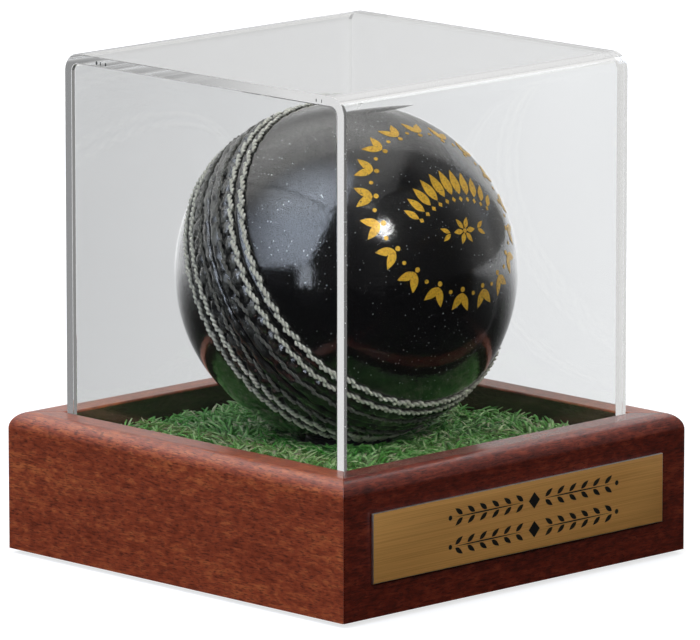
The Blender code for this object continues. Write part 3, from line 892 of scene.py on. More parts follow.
@dataclass
class Base:
    """The mahogany base: four mitred rails, the boards in them, screws, tongues and felt pads."""

    top_width: float = 0.0085
    foot_width: float = 0.0155
    round_radius: float = 0.0036
    arris_radius: float = 0.0005
    mitre_gap: float = 0.00001
    mitre_arris: float = 0.00012
    fit_gap: float = 0.0003
    rebate_depth: float = 0.0038
    round_flats: int = 14
    arris_flats: int = 4
    tongue_width: float = 0.0076
    pad_softness: float = 0.00025
    screw_flats: int = 32
    shank_radius: float = 0.0014
    head_height: float = 0.0015
    tip_height: float = 0.002
    cross_arm: float = 0.0013
    cross_half_width: float = 0.0003
    cross_depth: float = 0.0009
    cross_taper: float = 0.6
    sides: tuple[str, ...] = ("front", "right", "back", "left")
    corners: tuple[str, ...] = ("front_left", "front_right", "back_right", "back_left")

    def build(self) -> None:
        """Builds and dresses every piece of the base but the plaque and the turf."""
        self.make_rails()
        self.make_pads()
        self.make_screws()
        self.dress_boards()

    def rail_shape(self) -> BMesh:
        """Shapes the front rail between its mitres.

        Returns:
            The rail, in place, with its inner faces set to the second material.
        """
        low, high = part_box("front_rail")
        board_low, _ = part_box("turf_board")
        ledge = board_low.z - self.fit_gap
        rebate = low.z + self.rebate_depth
        outer = low.y
        section = [
            (0.0, low.z), (0.0, high.z), (self.top_width, high.z), (self.top_width, ledge),
            (self.foot_width, ledge), (self.foot_width, rebate), (self.top_width, rebate),
            (self.top_width, low.z),
        ]
        bm = bmesh.new()
        corners = [Vector((outer, outer + depth, height)) for depth, height in section]
        add_prism(bm, corners, Vector((-2 * outer, 0.0, 0.0)))
        rounds = (
            (0.0, self.round_radius, self.round_flats),
            (self.top_width, self.arris_radius, self.arris_flats),
        )
        for depth, radius, flats in rounds:
            ridge = [
                edge for edge in bm.edges
                if all(
                    abs(vert.co.z - high.z) < self.mitre_gap
                    and abs(vert.co.y - outer - depth) < self.mitre_gap
                    for vert in edge.verts
                )
            ]
            bevel(bm, ridge, radius, flats)
        for side in (-1, 1):
            normal = Vector((side, 1.0, 0.0)).normalized()
            cut = bmesh.ops.bisect_plane(
                bm, geom=bm.verts[:] + bm.edges[:] + bm.faces[:], dist=self.mitre_gap / 10,
                plane_co=-normal * self.mitre_gap / 2, plane_no=normal, clear_outer=True,
            )["geom_cut"]
            rim = [part for part in cut if isinstance(part, BMEdge)]
            bmesh.ops.contextual_create(bm, geom=rim)
            bevel(bm, rim, self.mitre_arris, 2)
        bmesh.ops.recalc_face_normals(bm, faces=bm.faces)
        for face in bm.faces:
            if face.calc_center_median().y - outer > self.top_width - self.mitre_gap:
                face.material_index = 1
        return bm

    def make_rails(self) -> None:
        """Makes the four rails, each from its own board, and slots them for the tongues."""
        # The inner faces are near black brown: stain, with painted shade of the recess.
        inside = PlainWood(
            "stained_mahogany_recess_painted_shade", "#251e14", "#453b2b", (9.0, 9.0, 0.8), roughness=0.6
        ).build()
        boards = (
            # The front rail is given darker tones than the others: painted shade for the face that the light
            # from the left misses.
            Mahogany(
                "lacquered_mahogany_front_painted_shade", GrainAxis.ALONG_X, 1, "#41150c", "#692415", "#8b3a22",
                coat_roughness=0.14, coat_ior=1.7,
            ),
            Mahogany("lacquered_mahogany_right", GrainAxis.ALONG_Y, 2),
            Mahogany("lacquered_mahogany_back", GrainAxis.ALONG_X, 3),
            Mahogany("lacquered_mahogany_left", GrainAxis.ALONG_Y, 4),
        )
        for index, (side, board) in enumerate(zip(self.sides, boards)):
            bm = self.rail_shape()
            bmesh.ops.rotate(bm, verts=bm.verts, matrix=Matrix.Rotation(index * QUARTER, 3, "Z"))
            node = side + "_rail"
            rail = make_piece(node + "_lacquered", bm, [board.build(), inside], "base", [node])
            slots = bmesh.new()
            for corner in (index, (index + 1) % 4):
                self.add_slot(slots, corner)
            self.add_pilot(slots, "board_screw_" + side)
            carve(rail, slots)
            weigh_normals(rail)

    def add_slot(self, bm: BMesh, corner: int) -> None:
        """Adds the slot that one mitre's hidden tongue lies in.

        Args:
            bm: The mesh it goes into.
            corner: Which corner, from the front left round by the front right.
        """
        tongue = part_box("mitre_spline_" + self.corners[corner])
        middle = (tongue[0] + tongue[1]) / 2
        turned = (tongue[1].x - tongue[0].x) * math.sqrt(2)
        along = self.tongue_width + 2 * self.fit_gap
        across = turned - along + 2 * self.fit_gap
        size = (across, along, tongue[1].z - tongue[0].z + 2 * self.fit_gap)
        verts = bmesh.ops.create_cube(bm, size=1.0)["verts"]
        bmesh.ops.scale(bm, verts=verts, vec=size)
        bmesh.ops.rotate(bm, verts=verts, matrix=Matrix.Rotation((corner - 0.5) * QUARTER, 3, "Z"))
        bmesh.ops.translate(bm, verts=verts, vec=middle)

    def add_pilot(self, bm: BMesh, screw: str) -> None:
        """Adds the blind hole that one board screw goes up into.

        Args:
            bm: The mesh it goes into.
            screw: The screw's CAD node.
        """
        low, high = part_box(screw)
        middle = (low + high) / 2
        radius = (high.x - low.x) / 2
        bmesh.ops.create_cone(
            bm, cap_ends=True, segments=24, radius1=radius, radius2=radius, depth=high.z - low.z,
            matrix=Matrix.Translation(middle + Vector((0.0, 0.0, self.fit_gap))),
        )

    def make_pads(self) -> None:
        """Makes the four needle-felt pads, with softened rims and a fuzz of fibres."""
        felt = Cloth("black_needle_felt", "#08080a", "#26262a", 0.35, sheen=0.5).build()
        chance = random.Random(5)
        softness = self.pad_softness
        for corner in self.corners:
            low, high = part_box("felt_pad_" + corner)
            middle = (low + high) / 2
            radius = (high.x - low.x) / 2 - softness / 2
            bm = bmesh.new()
            bmesh.ops.create_cone(
                bm, cap_ends=True, segments=64, radius1=radius, radius2=radius, depth=high.z - low.z,
                matrix=Matrix.Translation(middle),
            )
            rims = [edge for edge in bm.edges if abs(edge.verts[0].co.z - edge.verts[1].co.z) < softness / 10]
            bevel(bm, rims, softness, 4)
            for vert in bm.verts:
                out = Vector((vert.co.x - middle.x, vert.co.y - middle.y, 0.0))
                if out.length > radius / 2:
                    vert.co += out.normalized() * chance.uniform(-softness, softness) / 3
            make_piece("felt_disc_" + corner, bm, [felt], "base", ["felt_pad_" + corner])

    def make_screws(self) -> None:
        """Makes the four countersunk screws with their cross recesses."""
        steel = BrushedMetal(
            "zinc_plated_steel", "#c9cac6", "#8f918d", (0.6, 0.6, 0.6), roughness=(0.25, 0.4), anisotropy=0.0
        ).build()
        for side in self.sides:
            low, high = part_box("board_screw_" + side)
            middle = (low + high) / 2
            head_radius = (high.x - low.x) / 2
            length = high.z - low.z
            profile = [
                (0.0, 0.0), (head_radius, 0.0), (self.shank_radius, self.head_height),
                (self.shank_radius, length - self.tip_height), (0.0, length),
            ]
            bm = bmesh.new()
            verts = [bm.verts.new((r, 0.0, z)) for r, z in profile]
            edges = [bm.edges.new(pair) for pair in zip(verts, verts[1:])]
            spin(bm, verts + edges, UPRIGHT, 2 * math.pi, self.screw_flats, use_merge=True)
            bmesh.ops.remove_doubles(bm, verts=bm.verts, dist=WELD)
            bmesh.ops.recalc_face_normals(bm, faces=bm.faces)
            bmesh.ops.translate(bm, verts=bm.verts, vec=(middle.x, middle.y, low.z))
            node = "board_screw_" + side
            screw = make_piece("countersunk_screw_" + side, bm, [steel], "base", [node])
            centring = Matrix.Translation((-middle.x, -middle.y, 0.0))
            arm, half_width, depth = self.cross_arm, self.cross_half_width, self.cross_depth
            for reach_x, reach_y in ((arm, half_width), (half_width, arm)):
                cross = bmesh.new()
                arms = add_box(
                    cross, (middle.x - reach_x, middle.y - reach_y, low.z - depth),
                    (middle.x + reach_x, middle.y + reach_y, low.z + depth),
                )
                inner = [vert for vert in arms if vert.co.z > low.z]
                taper = (self.cross_taper, self.cross_taper, 1.0)
                bmesh.ops.scale(cross, verts=inner, vec=taper, space=centring)
                carve(screw, cross)

    def dress_boards(self) -> None:
        """Gives the boards, the tongues and the ring their materials."""
        finishes = {
            "turf_board": PlainWood("raw_fibreboard", "#6d5237", "#8c7050", (0.8, 0.8, 0.8), 0.85),
            "bottom_board": PlainWood("birch_plywood", "#a8875c", "#c9ab7e", (30.0, 1.2, 0.5), 0.7),
            "ball_seat_ring": SolidPlastic("moulded_black_abs", "#161616", "#0d0d0d", 0.38),
        }
        beech = PlainWood("sawn_beech", "#a77c52", "#c79c6f", (1.2, 1.2, 8.0), 0.65)
        finishes.update({"mitre_spline_" + corner: beech for corner in self.corners})
        dress_nodes(finishes)


def dress_nodes(finishes: dict[str, Any]) -> None:
    """Gives carried-over CAD nodes their materials.

    Args:
        finishes: Each node's finish, by the node's name.
    """
    made: dict[Any, Material] = {}
    for node, finish in finishes.items():
        if finish not in made:
            made[finish] = finish.build()
        obj = bpy.data.objects[node]
        obj.data.materials.clear()
        obj.data.materials.append(made[finish])
        log.info("%s: dressed in %s", node, made[finish].name)


# The plaque


@dataclass
class Plaque:
    """The brass-faced plate on the front rail, engraved with two sprigs in place of wording."""

    edge_bevel: float = 0.00012
    engraving_depth: float = 0.00012
    fill_depth: float = 0.00003
    fill_clearance: float = 0.00001
    ornament_shift: float = 0.0042
    row_spacing: float = 0.0062
    leaf_length: float = 0.0027
    leaf_width: float = 0.00105
    leaf_pitch: float = 0.0036
    leaf_splay: float = math.radians(34)
    leaf_pairs: int = 6
    stem_width: float = 0.00022
    lozenge: Pair = (0.0034, 0.0036)
    dot_radius: float = 0.00055

    def build(self) -> None:
        """Builds the plate, its engraving and the black that fills it, and dresses the film."""
        low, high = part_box("plaque_plate")
        brass = BrushedMetal(
            "brushed_brass_lacquered_face", "#edb265", "#d6994f", (26.0, 0.2, 0.14), metallic=0.3
        ).build()
        edge = BrushedMetal(
            "aluminium_cut_edge", "#e8e9ea", "#c2c4c6", (0.3, 0.3, 0.3),
            roughness=(0.25, 0.35), anisotropy=0.0,
        ).build()
        bm = bmesh.new()
        add_box(bm, low, high)
        bevel(bm, bm.edges[:], self.edge_bevel, 3)
        bmesh.ops.recalc_face_normals(bm, faces=bm.faces)
        for face in bm.faces:
            face.material_index = 0 if face.normal.y < -0.99 else 1
        plate = make_piece("plaque_plate_engraved", bm, [brass, edge], "base", ["plaque_plate"])
        cutter = bmesh.new()
        self.add_ornament(cutter, 0.0, low.y - self.engraving_depth, 2 * self.engraving_depth)
        carve(plate, cutter)
        fill = bmesh.new()
        deep = self.engraving_depth - self.fill_depth - self.fill_clearance
        self.add_ornament(fill, -self.fill_clearance, low.y + self.fill_depth, deep)
        bmesh.ops.recalc_face_normals(fill, faces=fill.faces)
        enamel = SolidPlastic("black_engraving_enamel", "#0e0d0c", "#060606", 0.45, 0.3)
        make_piece("plaque_engraving_fill", fill, [enamel.build()], "base")
        dress_nodes({"plaque_adhesive": SolidPlastic("adhesive_film", "#c2bda8", "#a8a38f", 0.6)})

    def add_ornament(self, bm: BMesh, grow: float, near: float, depth: float) -> None:
        """Adds both rows of the ornament as closed prisms.

        Args:
            bm: The mesh they go into.
            grow: How much wider than its drawing each outline is.
            near: The Y of the prisms' front ends.
            depth: How far they go back from there.
        """
        low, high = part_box("plaque_plate")
        upright = Matrix.Rotation(QUARTER, 4, "X")
        for row in (-1, 1):
            centre = Vector((self.ornament_shift, near, (low.z + high.z) / 2 - row * self.row_spacing / 2))
            for motif, length, width, place in self.row_motifs(row):
                at = Matrix.Translation(centre) @ upright @ place
                face = add_motif(bm, motif, length + 2 * grow, width + 2 * grow, at)
                drawn = bmesh.ops.extrude_face_region(bm, geom=[face])["geom"]
                moved = [part for part in drawn if isinstance(part, BMVert)]
                bmesh.ops.translate(bm, verts=moved, vec=(0.0, depth, 0.0))

    def row_motifs(self, row: int) -> Iterable[tuple[Motif, float, float, Matrix]]:
        """Lays out one row: a lozenge, with a leafy stem on each side that ends in a dot.

        Args:
            row: -1 for the upper row and 1 for the lower, whose leaves turn the other way.

        Yields:
            Each motif, its length, its width and its place in the row.
        """
        length, width = self.lozenge
        yield Motif.LOZENGE, length, width, Matrix.Identity(4)
        first = length / 2 + self.leaf_pitch * 0.75
        reach = self.leaf_length / 2 * math.cos(self.leaf_splay)
        rise = self.leaf_length / 2 * math.sin(self.leaf_splay) + self.stem_width * 1.6
        for side in (-1, 1):
            for index in range(self.leaf_pairs):
                x = side * (first + self.leaf_pitch * index)
                for up in (-1, 1):
                    turn = up * side * -row * self.leaf_splay
                    facing = Matrix.Rotation(turn + (math.pi if side * -row < 0 else 0.0), 4, "Z")
                    place = Matrix.Translation((x, up * rise, 0.0)) @ facing
                    yield Motif.LEAF, self.leaf_length, self.leaf_width, place
            start = first - reach * 1.2
            end = first + self.leaf_pitch * (self.leaf_pairs - 1) + reach * 1.2
            stem = Matrix.Translation((side * (start + end) / 2, 0.0, 0.0))
            yield Motif.LEAF, end - start, self.stem_width * 1.5, stem
            dot = Matrix.Translation((side * (end + 2.2 * self.dot_radius), 0.0, 0.0))
            yield Motif.DOT, 2 * self.dot_radius, 2 * self.dot_radius, dot


# The turf


@dataclass
class Turf:
    """The artificial turf: a woven backing and thousands of matted blades."""

    backing_bevel: float = 0.0002
    blade_width: float = 0.0007
    blade_thickness: float = 0.0003
    blade_length: Pair = (0.0026, 0.0062)
    pile_height: float = 0.0035
    pile_shares: Pair = (0.7, 1.08)
    edge_band: float = 0.004
    edge_share: float = 0.85
    blade_steps: int = 4
    blade_pitch: float = 0.00068
    curls: int = 10
    wall_gap: float = 0.0002
    ball_gap: float = 0.0005
    ring_gap: float = 0.0003
    swirl: float = 0.011
    turf_seed: int = 23
    backing_thickness: float = 0.001
    strips: int = 4
    bend_degrees: Pair = (35.0, 130.0)
    step_taper: float = 0.94
    tip_taper: float = 0.6
    matting: float = 2.2
    stray: float = 0.9
    leans: Pair = (0.1, 0.95)
    shade_spread: Pair = (0.42, 0.33)

    def build(self) -> None:
        """Builds the backing and the blades, in strips across the mat."""
        low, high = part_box("turf_mat")
        backing_top = low.z + self.backing_thickness
        weave = Cloth("woven_turf_backing", "#0c1a0c", "#1c3318", 0.8, sheen=0.0).build()
        bm = bmesh.new()
        add_box(bm, low, (high.x, high.y, backing_top))
        bevel(bm, bm.edges[:], self.backing_bevel, 2)
        bmesh.ops.recalc_face_normals(bm, faces=bm.faces)
        make_piece("turf_backing", bm, [weave], "base", ["turf_mat"])
        fibre = TurfFibre().build()
        templates = [self.blade_template(index) for index in range(self.curls)]
        width = (high.y - low.y) / self.strips
        chance = random.Random(self.turf_seed)
        for strip in range(self.strips):
            start = low.y + strip * width
            blades = self.plant(templates, low, high, backing_top, start, start + width, chance)
            make_piece(f"turf_blades_{strip + 1}", blades, [fibre], "base", angle=math.pi)
        for template in templates:
            bpy.data.meshes.remove(template)

    def blade_template(self, index: int) -> Mesh:
        """Shapes one blade of unit length, bent over by its own curl.

        Args:
            index: Which of the curls it has.

        Returns:
            The blade, rooted at its origin and rising along Z.
        """
        least, most = self.bend_degrees
        bend = math.radians(least + (most - least) * index / (self.curls - 1))
        width = self.blade_width / sum(self.blade_length) * 2
        flat = self.blade_thickness / self.blade_width
        bm = bmesh.new()
        height = bm.verts.layers.float.new("blade_height")
        bm.verts.layers.float.new("blade_shade")
        ring = bmesh.ops.create_circle(bm, cap_ends=True, segments=3, radius=width / 2)["verts"]
        bmesh.ops.scale(bm, verts=ring, vec=(1.0, flat, 1.0))
        face = ring[0].link_faces[0]
        step = 1.0 / self.blade_steps
        heading = 0.0
        middle = Vector((0.0, 0.0, 0.0))
        for number in range(1, self.blade_steps + 1):
            turn = bend / self.blade_steps
            drawn = bmesh.ops.extrude_face_region(bm, geom=[face, *face.edges])["geom"]
            face = next(part for part in drawn if isinstance(part, BMFace))
            heading += turn
            ahead = Vector((0.0, math.sin(heading), math.cos(heading))) * step
            about = Matrix.Rotation(-turn, 4, "X")
            slim = Matrix.Scale(self.step_taper if number < self.blade_steps else self.tip_taper, 4)
            move = Matrix.Translation(middle + ahead) @ about @ slim @ Matrix.Translation(-middle)
            bmesh.ops.transform(bm, matrix=move, verts=face.verts)
            middle += ahead
            for vert in face.verts:
                vert[height] = number * step
        bmesh.ops.recalc_face_normals(bm, faces=bm.faces)
        mesh = bpy.data.meshes.new("blade_template")
        bm.to_mesh(mesh)
        bm.free()
        return mesh

    def plant(
        self, templates: Sequence[Mesh], low: Vector, high: Vector,
        ground: float, start: float, end: float, chance: random.Random,
    ) -> BMesh:
        """Plants one strip of the mat.

        Args:
            templates: The blades to copy.
            low: The mat's lowest corner.
            high: Its highest corner.
            ground: The height of the backing's top.
            start: Where the strip starts in Y.
            end: Where it ends.
            chance: The source of random numbers.

        Returns:
            The blades, in place.
        """
        bm = bmesh.new()
        columns = int((high.x - low.x) / self.blade_pitch)
        rows = int((end - start) / self.blade_pitch)
        for row in range(rows):
            for column in range(columns):
                x = low.x + (column + chance.random()) * self.blade_pitch
                y = start + (row + chance.random()) * self.blade_pitch
                matted = noise.noise(Vector((x, y, 0.0)) / self.swirl) * self.matting * math.pi
                heading = matted + chance.gauss(0.0, self.stray)
                inside = min(x - low.x, high.x - x, y - low.y, high.y - y) / self.edge_band
                shortened = self.edge_share + (1.0 - self.edge_share) * min(inside, 1.0)
                template = chance.choice(templates)
                lean = chance.uniform(*self.leans)
                tilted = Matrix.Rotation(-lean, 3, "X")
                rise = max((tilted @ vert.co).z for vert in template.vertices)
                tall = self.pile_height * chance.uniform(*self.pile_shares) * shortened
                length = min(max(tall / rise, self.blade_length[0]), self.blade_length[1])
                shade_value = min(max(chance.gauss(*self.shade_spread), 0.0), 1.0)
                place = self.fit_blade(template, Vector((x, y, ground)), heading, lean, length, low, high)
                if place is None:
                    continue
                blade = template.copy()
                blade.transform(place)
                blade.attributes["blade_shade"].data.foreach_set("value", [shade_value] * len(blade.vertices))
                bm.from_mesh(blade)
                bpy.data.meshes.remove(blade)
        return bm

    def fit_blade(
        self, template: Mesh, root: Vector, heading: float, lean: float,
        length: float, low: Vector, high: Vector,
    ) -> Matrix | None:
        """Finds a stance for one blade in which it touches neither ball, ring nor cover.

        Args:
            template: The blade.
            root: Where it grows.
            heading: The way that it falls.
            lean: How far it leans at its root, in radians.
            length: Its length.
            low: The mat's lowest corner.
            high: Its highest corner.

        Returns:
            Its place, or None where no stance fits.
        """
        ring_low, ring_high = node_box("ball_seat_ring")
        bare = (ring_high.x - ring_low.x) / 2 + self.ring_gap
        if math.hypot(root.x, root.y) < bare + self.blade_width:
            return None
        outward = math.atan2(root.y, root.x) - QUARTER
        stances = (
            (heading, lean, 1.0), (heading, lean, 0.7), (outward, lean, 0.9),
            (outward, 1.1, 0.6), (outward, 1.2, 0.35),
        )
        for turn, tilt, share in stances:
            place = (
                Matrix.Translation(root) @ Matrix.Rotation(turn, 4, "Z")
                @ Matrix.Rotation(-tilt, 4, "X") @ Matrix.Scale(length * share, 4)
            )
            points = [place @ vert.co for vert in template.vertices]
            if all(self.is_free(point, bare, low, high) for point in points):
                return place
        return None

    def is_free(self, point: Vector, bare: float, low: Vector, high: Vector) -> bool:
        """Tells whether a point of a blade keeps clear of everything round the turf.

        Args:
            point: The point.
            bare: The radius round the middle in which nothing grows.
            low: The mat's lowest corner.
            high: Its highest corner.

        Returns:
            True where it touches nothing.
        """
        if not low.x + self.wall_gap < point.x < high.x - self.wall_gap:
            return False
        if not low.y + self.wall_gap < point.y < high.y - self.wall_gap:
            return False
        if not low.z < point.z < high.z:
            return False
        if math.hypot(point.x, point.y) < bare:
            return False
        return (point - Ball.centre()).length > Ball.reach + self.ball_gap


# The cover


@dataclass
class Cover:
    """The acrylic cover: one sheet bent into an arch and two ends glued inside it."""

    sheet: float = 0.002
    bend_radius: float = 0.004
    glue_gap: float = 0.00005
    polish: float = 0.00012
    bend_flats: int = 20
    mark_pitch: float = 0.0006
    end_painted_glow: tuple[tuple[str, Pair], ...] = (("left", (0.1, 0.42)), ("right", (0.72, 1.0)))
    film_share: float = 0.35
    bubble_shares: Pair = (0.15, 0.45)
    bubble_widths: Pair = (0.00006, 0.00018)
    joint_shares: Pair = (0.1, 0.94)
    gap_shares: Pair = (0.5, 3.0)
    smear_height_share: float = 0.22
    smear_place_share: float = 0.62
    edge_smears: tuple[Pair, ...] = (
        (0.0322, 0.00034), (0.031, 0.0002), (0.0294, 0.00026), (-0.034, 0.00016), (-0.0356, 0.00012),
    )

    def build(self) -> None:
        """Builds the arch, the two ends and the marks that the cement left."""
        acrylic = [
            ClearAcrylic().build(),
            ClearAcrylic("flame_polished_acrylic_edge", "#fbfbf9", clarity=0.94, roughness=0.03).build(),
            ClearAcrylic("sawn_acrylic_rim", "#d9dad6", clarity=0.45, roughness=0.4).build(),
            ClearAcrylic("cemented_acrylic_joint", ior=1.001).build(),
        ]
        self.make_wrap(acrylic)
        # Each end has its own painted glow, dim in the left end and bright in the right.
        for name, level in self.end_painted_glow:
            clear = ClearAcrylic(
                f"clear_cast_acrylic_{name}_end", painted_glow=level, painted_glow_towards=(0.0, 1.0, 0.0),
                painted_glow_span=(-0.04, 0.04),
            ).build()
            self.make_end(name, [clear, *acrylic[1:]])
        self.make_bond_marks()

    def make_wrap(self, acrylic: Sequence[Material]) -> None:
        """Makes the bent sheet: front wall, top and back wall.

        Args:
            acrylic: The materials of its clear faces, cut edges, rim and cemented joints.
        """
        low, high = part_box("cover_wrap")
        t = self.sheet
        section = [
            (low.y, low.z), (low.y, high.z), (high.y, high.z), (high.y, low.z),
            (high.y - t, low.z), (high.y - t, high.z - t), (low.y + t, high.z - t), (low.y + t, low.z),
        ]
        bm = bmesh.new()
        add_prism(bm, [Vector((low.x, y, z)) for y, z in section], Vector((high.x - low.x, 0.0, 0.0)))
        for height, radius in ((high.z, self.bend_radius), (high.z - t, self.bend_radius - t)):
            bevel(bm, self.edges_along_x(bm, height), radius, self.bend_flats)
        self.polish_edges(bm)
        for side in (-1, 1):
            bmesh.ops.bisect_plane(
                bm, geom=bm.verts[:] + bm.edges[:] + bm.faces[:], dist=self.polish / 100,
                plane_co=(side * (high.x - t), 0.0, 0.0), plane_no=(1.0, 0.0, 0.0),
            )
        for face in bm.faces:
            middle = face.calc_center_median()
            if abs(face.normal.x) > 0.99:
                face.material_index = 1
            if face.normal.z < -0.99 and middle.z < low.z + self.polish:
                face.material_index = 2
            if face.normal.y < -0.99 and middle.y > 0.0 and abs(middle.x) > high.x - t:
                face.material_index = 3
        wrap = make_piece("cover_wrap_polished", bm, acrylic, "cover", ["cover_wrap"])
        weigh_normals(wrap)

    def make_end(self, name: str, acrylic: Sequence[Material]) -> None:
        """Makes one end panel, which follows the inside of the bent sheet.

        Args:
            name: left or right.
            acrylic: The materials of its clear faces, cut edges, rim and cemented joints.
        """
        low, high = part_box(f"cover_{name}_end")
        section = [(low.y, low.z), (low.y, high.z), (high.y, high.z), (high.y, low.z)]
        bm = bmesh.new()
        add_prism(bm, [Vector((low.x, y, z)) for y, z in section], Vector((high.x - low.x, 0.0, 0.0)))
        inside_bend = self.bend_radius - self.sheet - self.glue_gap
        bevel(bm, self.edges_along_x(bm, high.z), inside_bend, self.bend_flats)
        self.polish_edges(bm)
        for face in bm.faces:
            if face.normal.z < -0.99:
                face.material_index = 2
            if face.normal.y > 0.99:
                face.material_index = 3
        end = make_piece(f"cover_{name}_end_polished", bm, acrylic, "cover", [f"cover_{name}_end"])
        weigh_normals(end)

    def edges_along_x(self, bm: BMesh, height: float) -> list[BMEdge]:
        """Finds the edges that run along X.

        Args:
            bm: The mesh that has them.
            height: Their height.

        Returns:
            The edges.
        """
        near = self.glue_gap / 10
        return [
            edge for edge in bm.edges
            if all(abs(vert.co.z - height) < near for vert in edge.verts)
            and abs(edge.verts[0].co.x - edge.verts[1].co.x) > self.sheet / 2
        ]

    def polish_edges(self, bm: BMesh) -> None:
        """Softens every arris between a face of the sheet and its cut edge."""
        bmesh.ops.recalc_face_normals(bm, faces=bm.faces)
        sharp = [edge for edge in bm.edges if edge.calc_face_angle(0.0) > math.radians(60)]
        bevel(bm, sharp, self.polish, 2)
        bmesh.ops.recalc_face_normals(bm, faces=bm.faces)

    def make_bond_marks(self) -> None:
        """Makes the trapped air in the joint nearest the corner, drawn white as a painted reflection, and the
        cement on the top's edge.
        """
        low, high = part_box("cover_wrap")
        end_low, end_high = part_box("cover_left_end")
        cement = SolidPlastic("dried_acrylic_cement", "#6e706a", "#3a3c38", 0.35, 0.4).build()
        # The trapped air is drawn as white flecks: a painted reflection of the air pockets.
        bubbles = SolidPlastic("trapped_air_painted_reflection", "#f2f3f1", "#c9cbc8", 0.35, 0.4).build()
        chance = random.Random(31)
        bm = bmesh.new()
        joint_y = low.y + self.sheet + self.glue_gap / 2
        film = self.glue_gap * self.film_share
        height = end_low.z + self.mark_pitch
        while height < end_high.z - self.bend_radius:
            half = chance.uniform(*self.bubble_shares) * self.mark_pitch
            x = low.x + self.sheet * chance.uniform(*self.joint_shares)
            size = (chance.uniform(*self.bubble_widths), film, half)
            self.add_mark(bm, (x, joint_y, height), size)
            height += half + chance.uniform(*self.gap_shares) * self.mark_pitch
        for face in bm.faces:
            face.material_index = 1
        for y, half_width in self.edge_smears:
            size = (film, half_width, self.sheet * self.smear_height_share)
            self.add_mark(bm, (low.x - 2 * film, y, high.z - self.sheet * self.smear_place_share), size)
        make_piece("cover_bond_marks", bm, [cement, bubbles], "cover", angle=math.pi)

    def add_mark(self, bm: BMesh, place: Sequence[float], size: Sequence[float]) -> None:
        """Adds one flattened fleck of cement or air.

        Args:
            bm: The mesh it goes into.
            place: Its middle.
            size: Its half sizes.
        """
        mark = bmesh.ops.create_icosphere(bm, subdivisions=1, radius=1.0)["verts"]
        bmesh.ops.scale(bm, verts=mark, vec=size)
        bmesh.ops.translate(bm, verts=mark, vec=place)


# The ball


@dataclass(frozen=True)
class Hump:
    """A ridge or groove that runs round beside the seam."""

    height: float
    middle: float
    width: float

    def rise(self, distance: float) -> float:
        """Gives its height this far round the sphere from the seam."""
        return self.height * math.exp(-(((distance - self.middle) / self.width) ** 2))


@dataclass(frozen=True)
class Stitch:
    """One stitch: twisted plies that come up, run slantwise and go down again."""

    slant: float
    bundle: float
    twists: float
    steps: int
    plies: int = 2
    sides: int = 6
    ply_share: float = 0.5
    offset_share: float = 0.52
    reach_share: float = 0.66
    arch_share: float = 0.35
    dive_share: float = 0.38
    depth_share: float = 2.0
    taper_share: float = 0.35

    def shape(self, pitch: float) -> Mesh:
        """Shapes it.

        Args:
            pitch: The distance from one stitch to the next.

        Returns:
            The stitch, along its own X, with Z out of the ball.
        """
        bm = bmesh.new()
        offset = self.bundle * self.offset_share
        for ply in range(self.plies):
            points, radii = [], []
            for index in range(self.steps):
                share = 2 * index / (self.steps - 1) - 1
                dive = max(abs(share) - (1 - self.dive_share), 0.0) / self.dive_share
                arch = self.arch_share * (1 - share**2) - self.depth_share * dive**2
                line = Vector((share * pitch * self.reach_share, self.slant * share, self.bundle * arch))
                angle = 2 * math.pi * (ply / self.plies + self.twists * index / (self.steps - 1))
                points.append(line + Vector((0.0, math.cos(angle) * offset, math.sin(angle) * offset)))
                radii.append(self.bundle * self.ply_share * (1.0 - self.taper_share * dive))
            sweep(bm, points, radii, self.sides)
        bmesh.ops.recalc_face_normals(bm, faces=bm.faces)
        mesh = bpy.data.meshes.new("stitch_template")
        bm.to_mesh(mesh)
        bm.free()
        return mesh


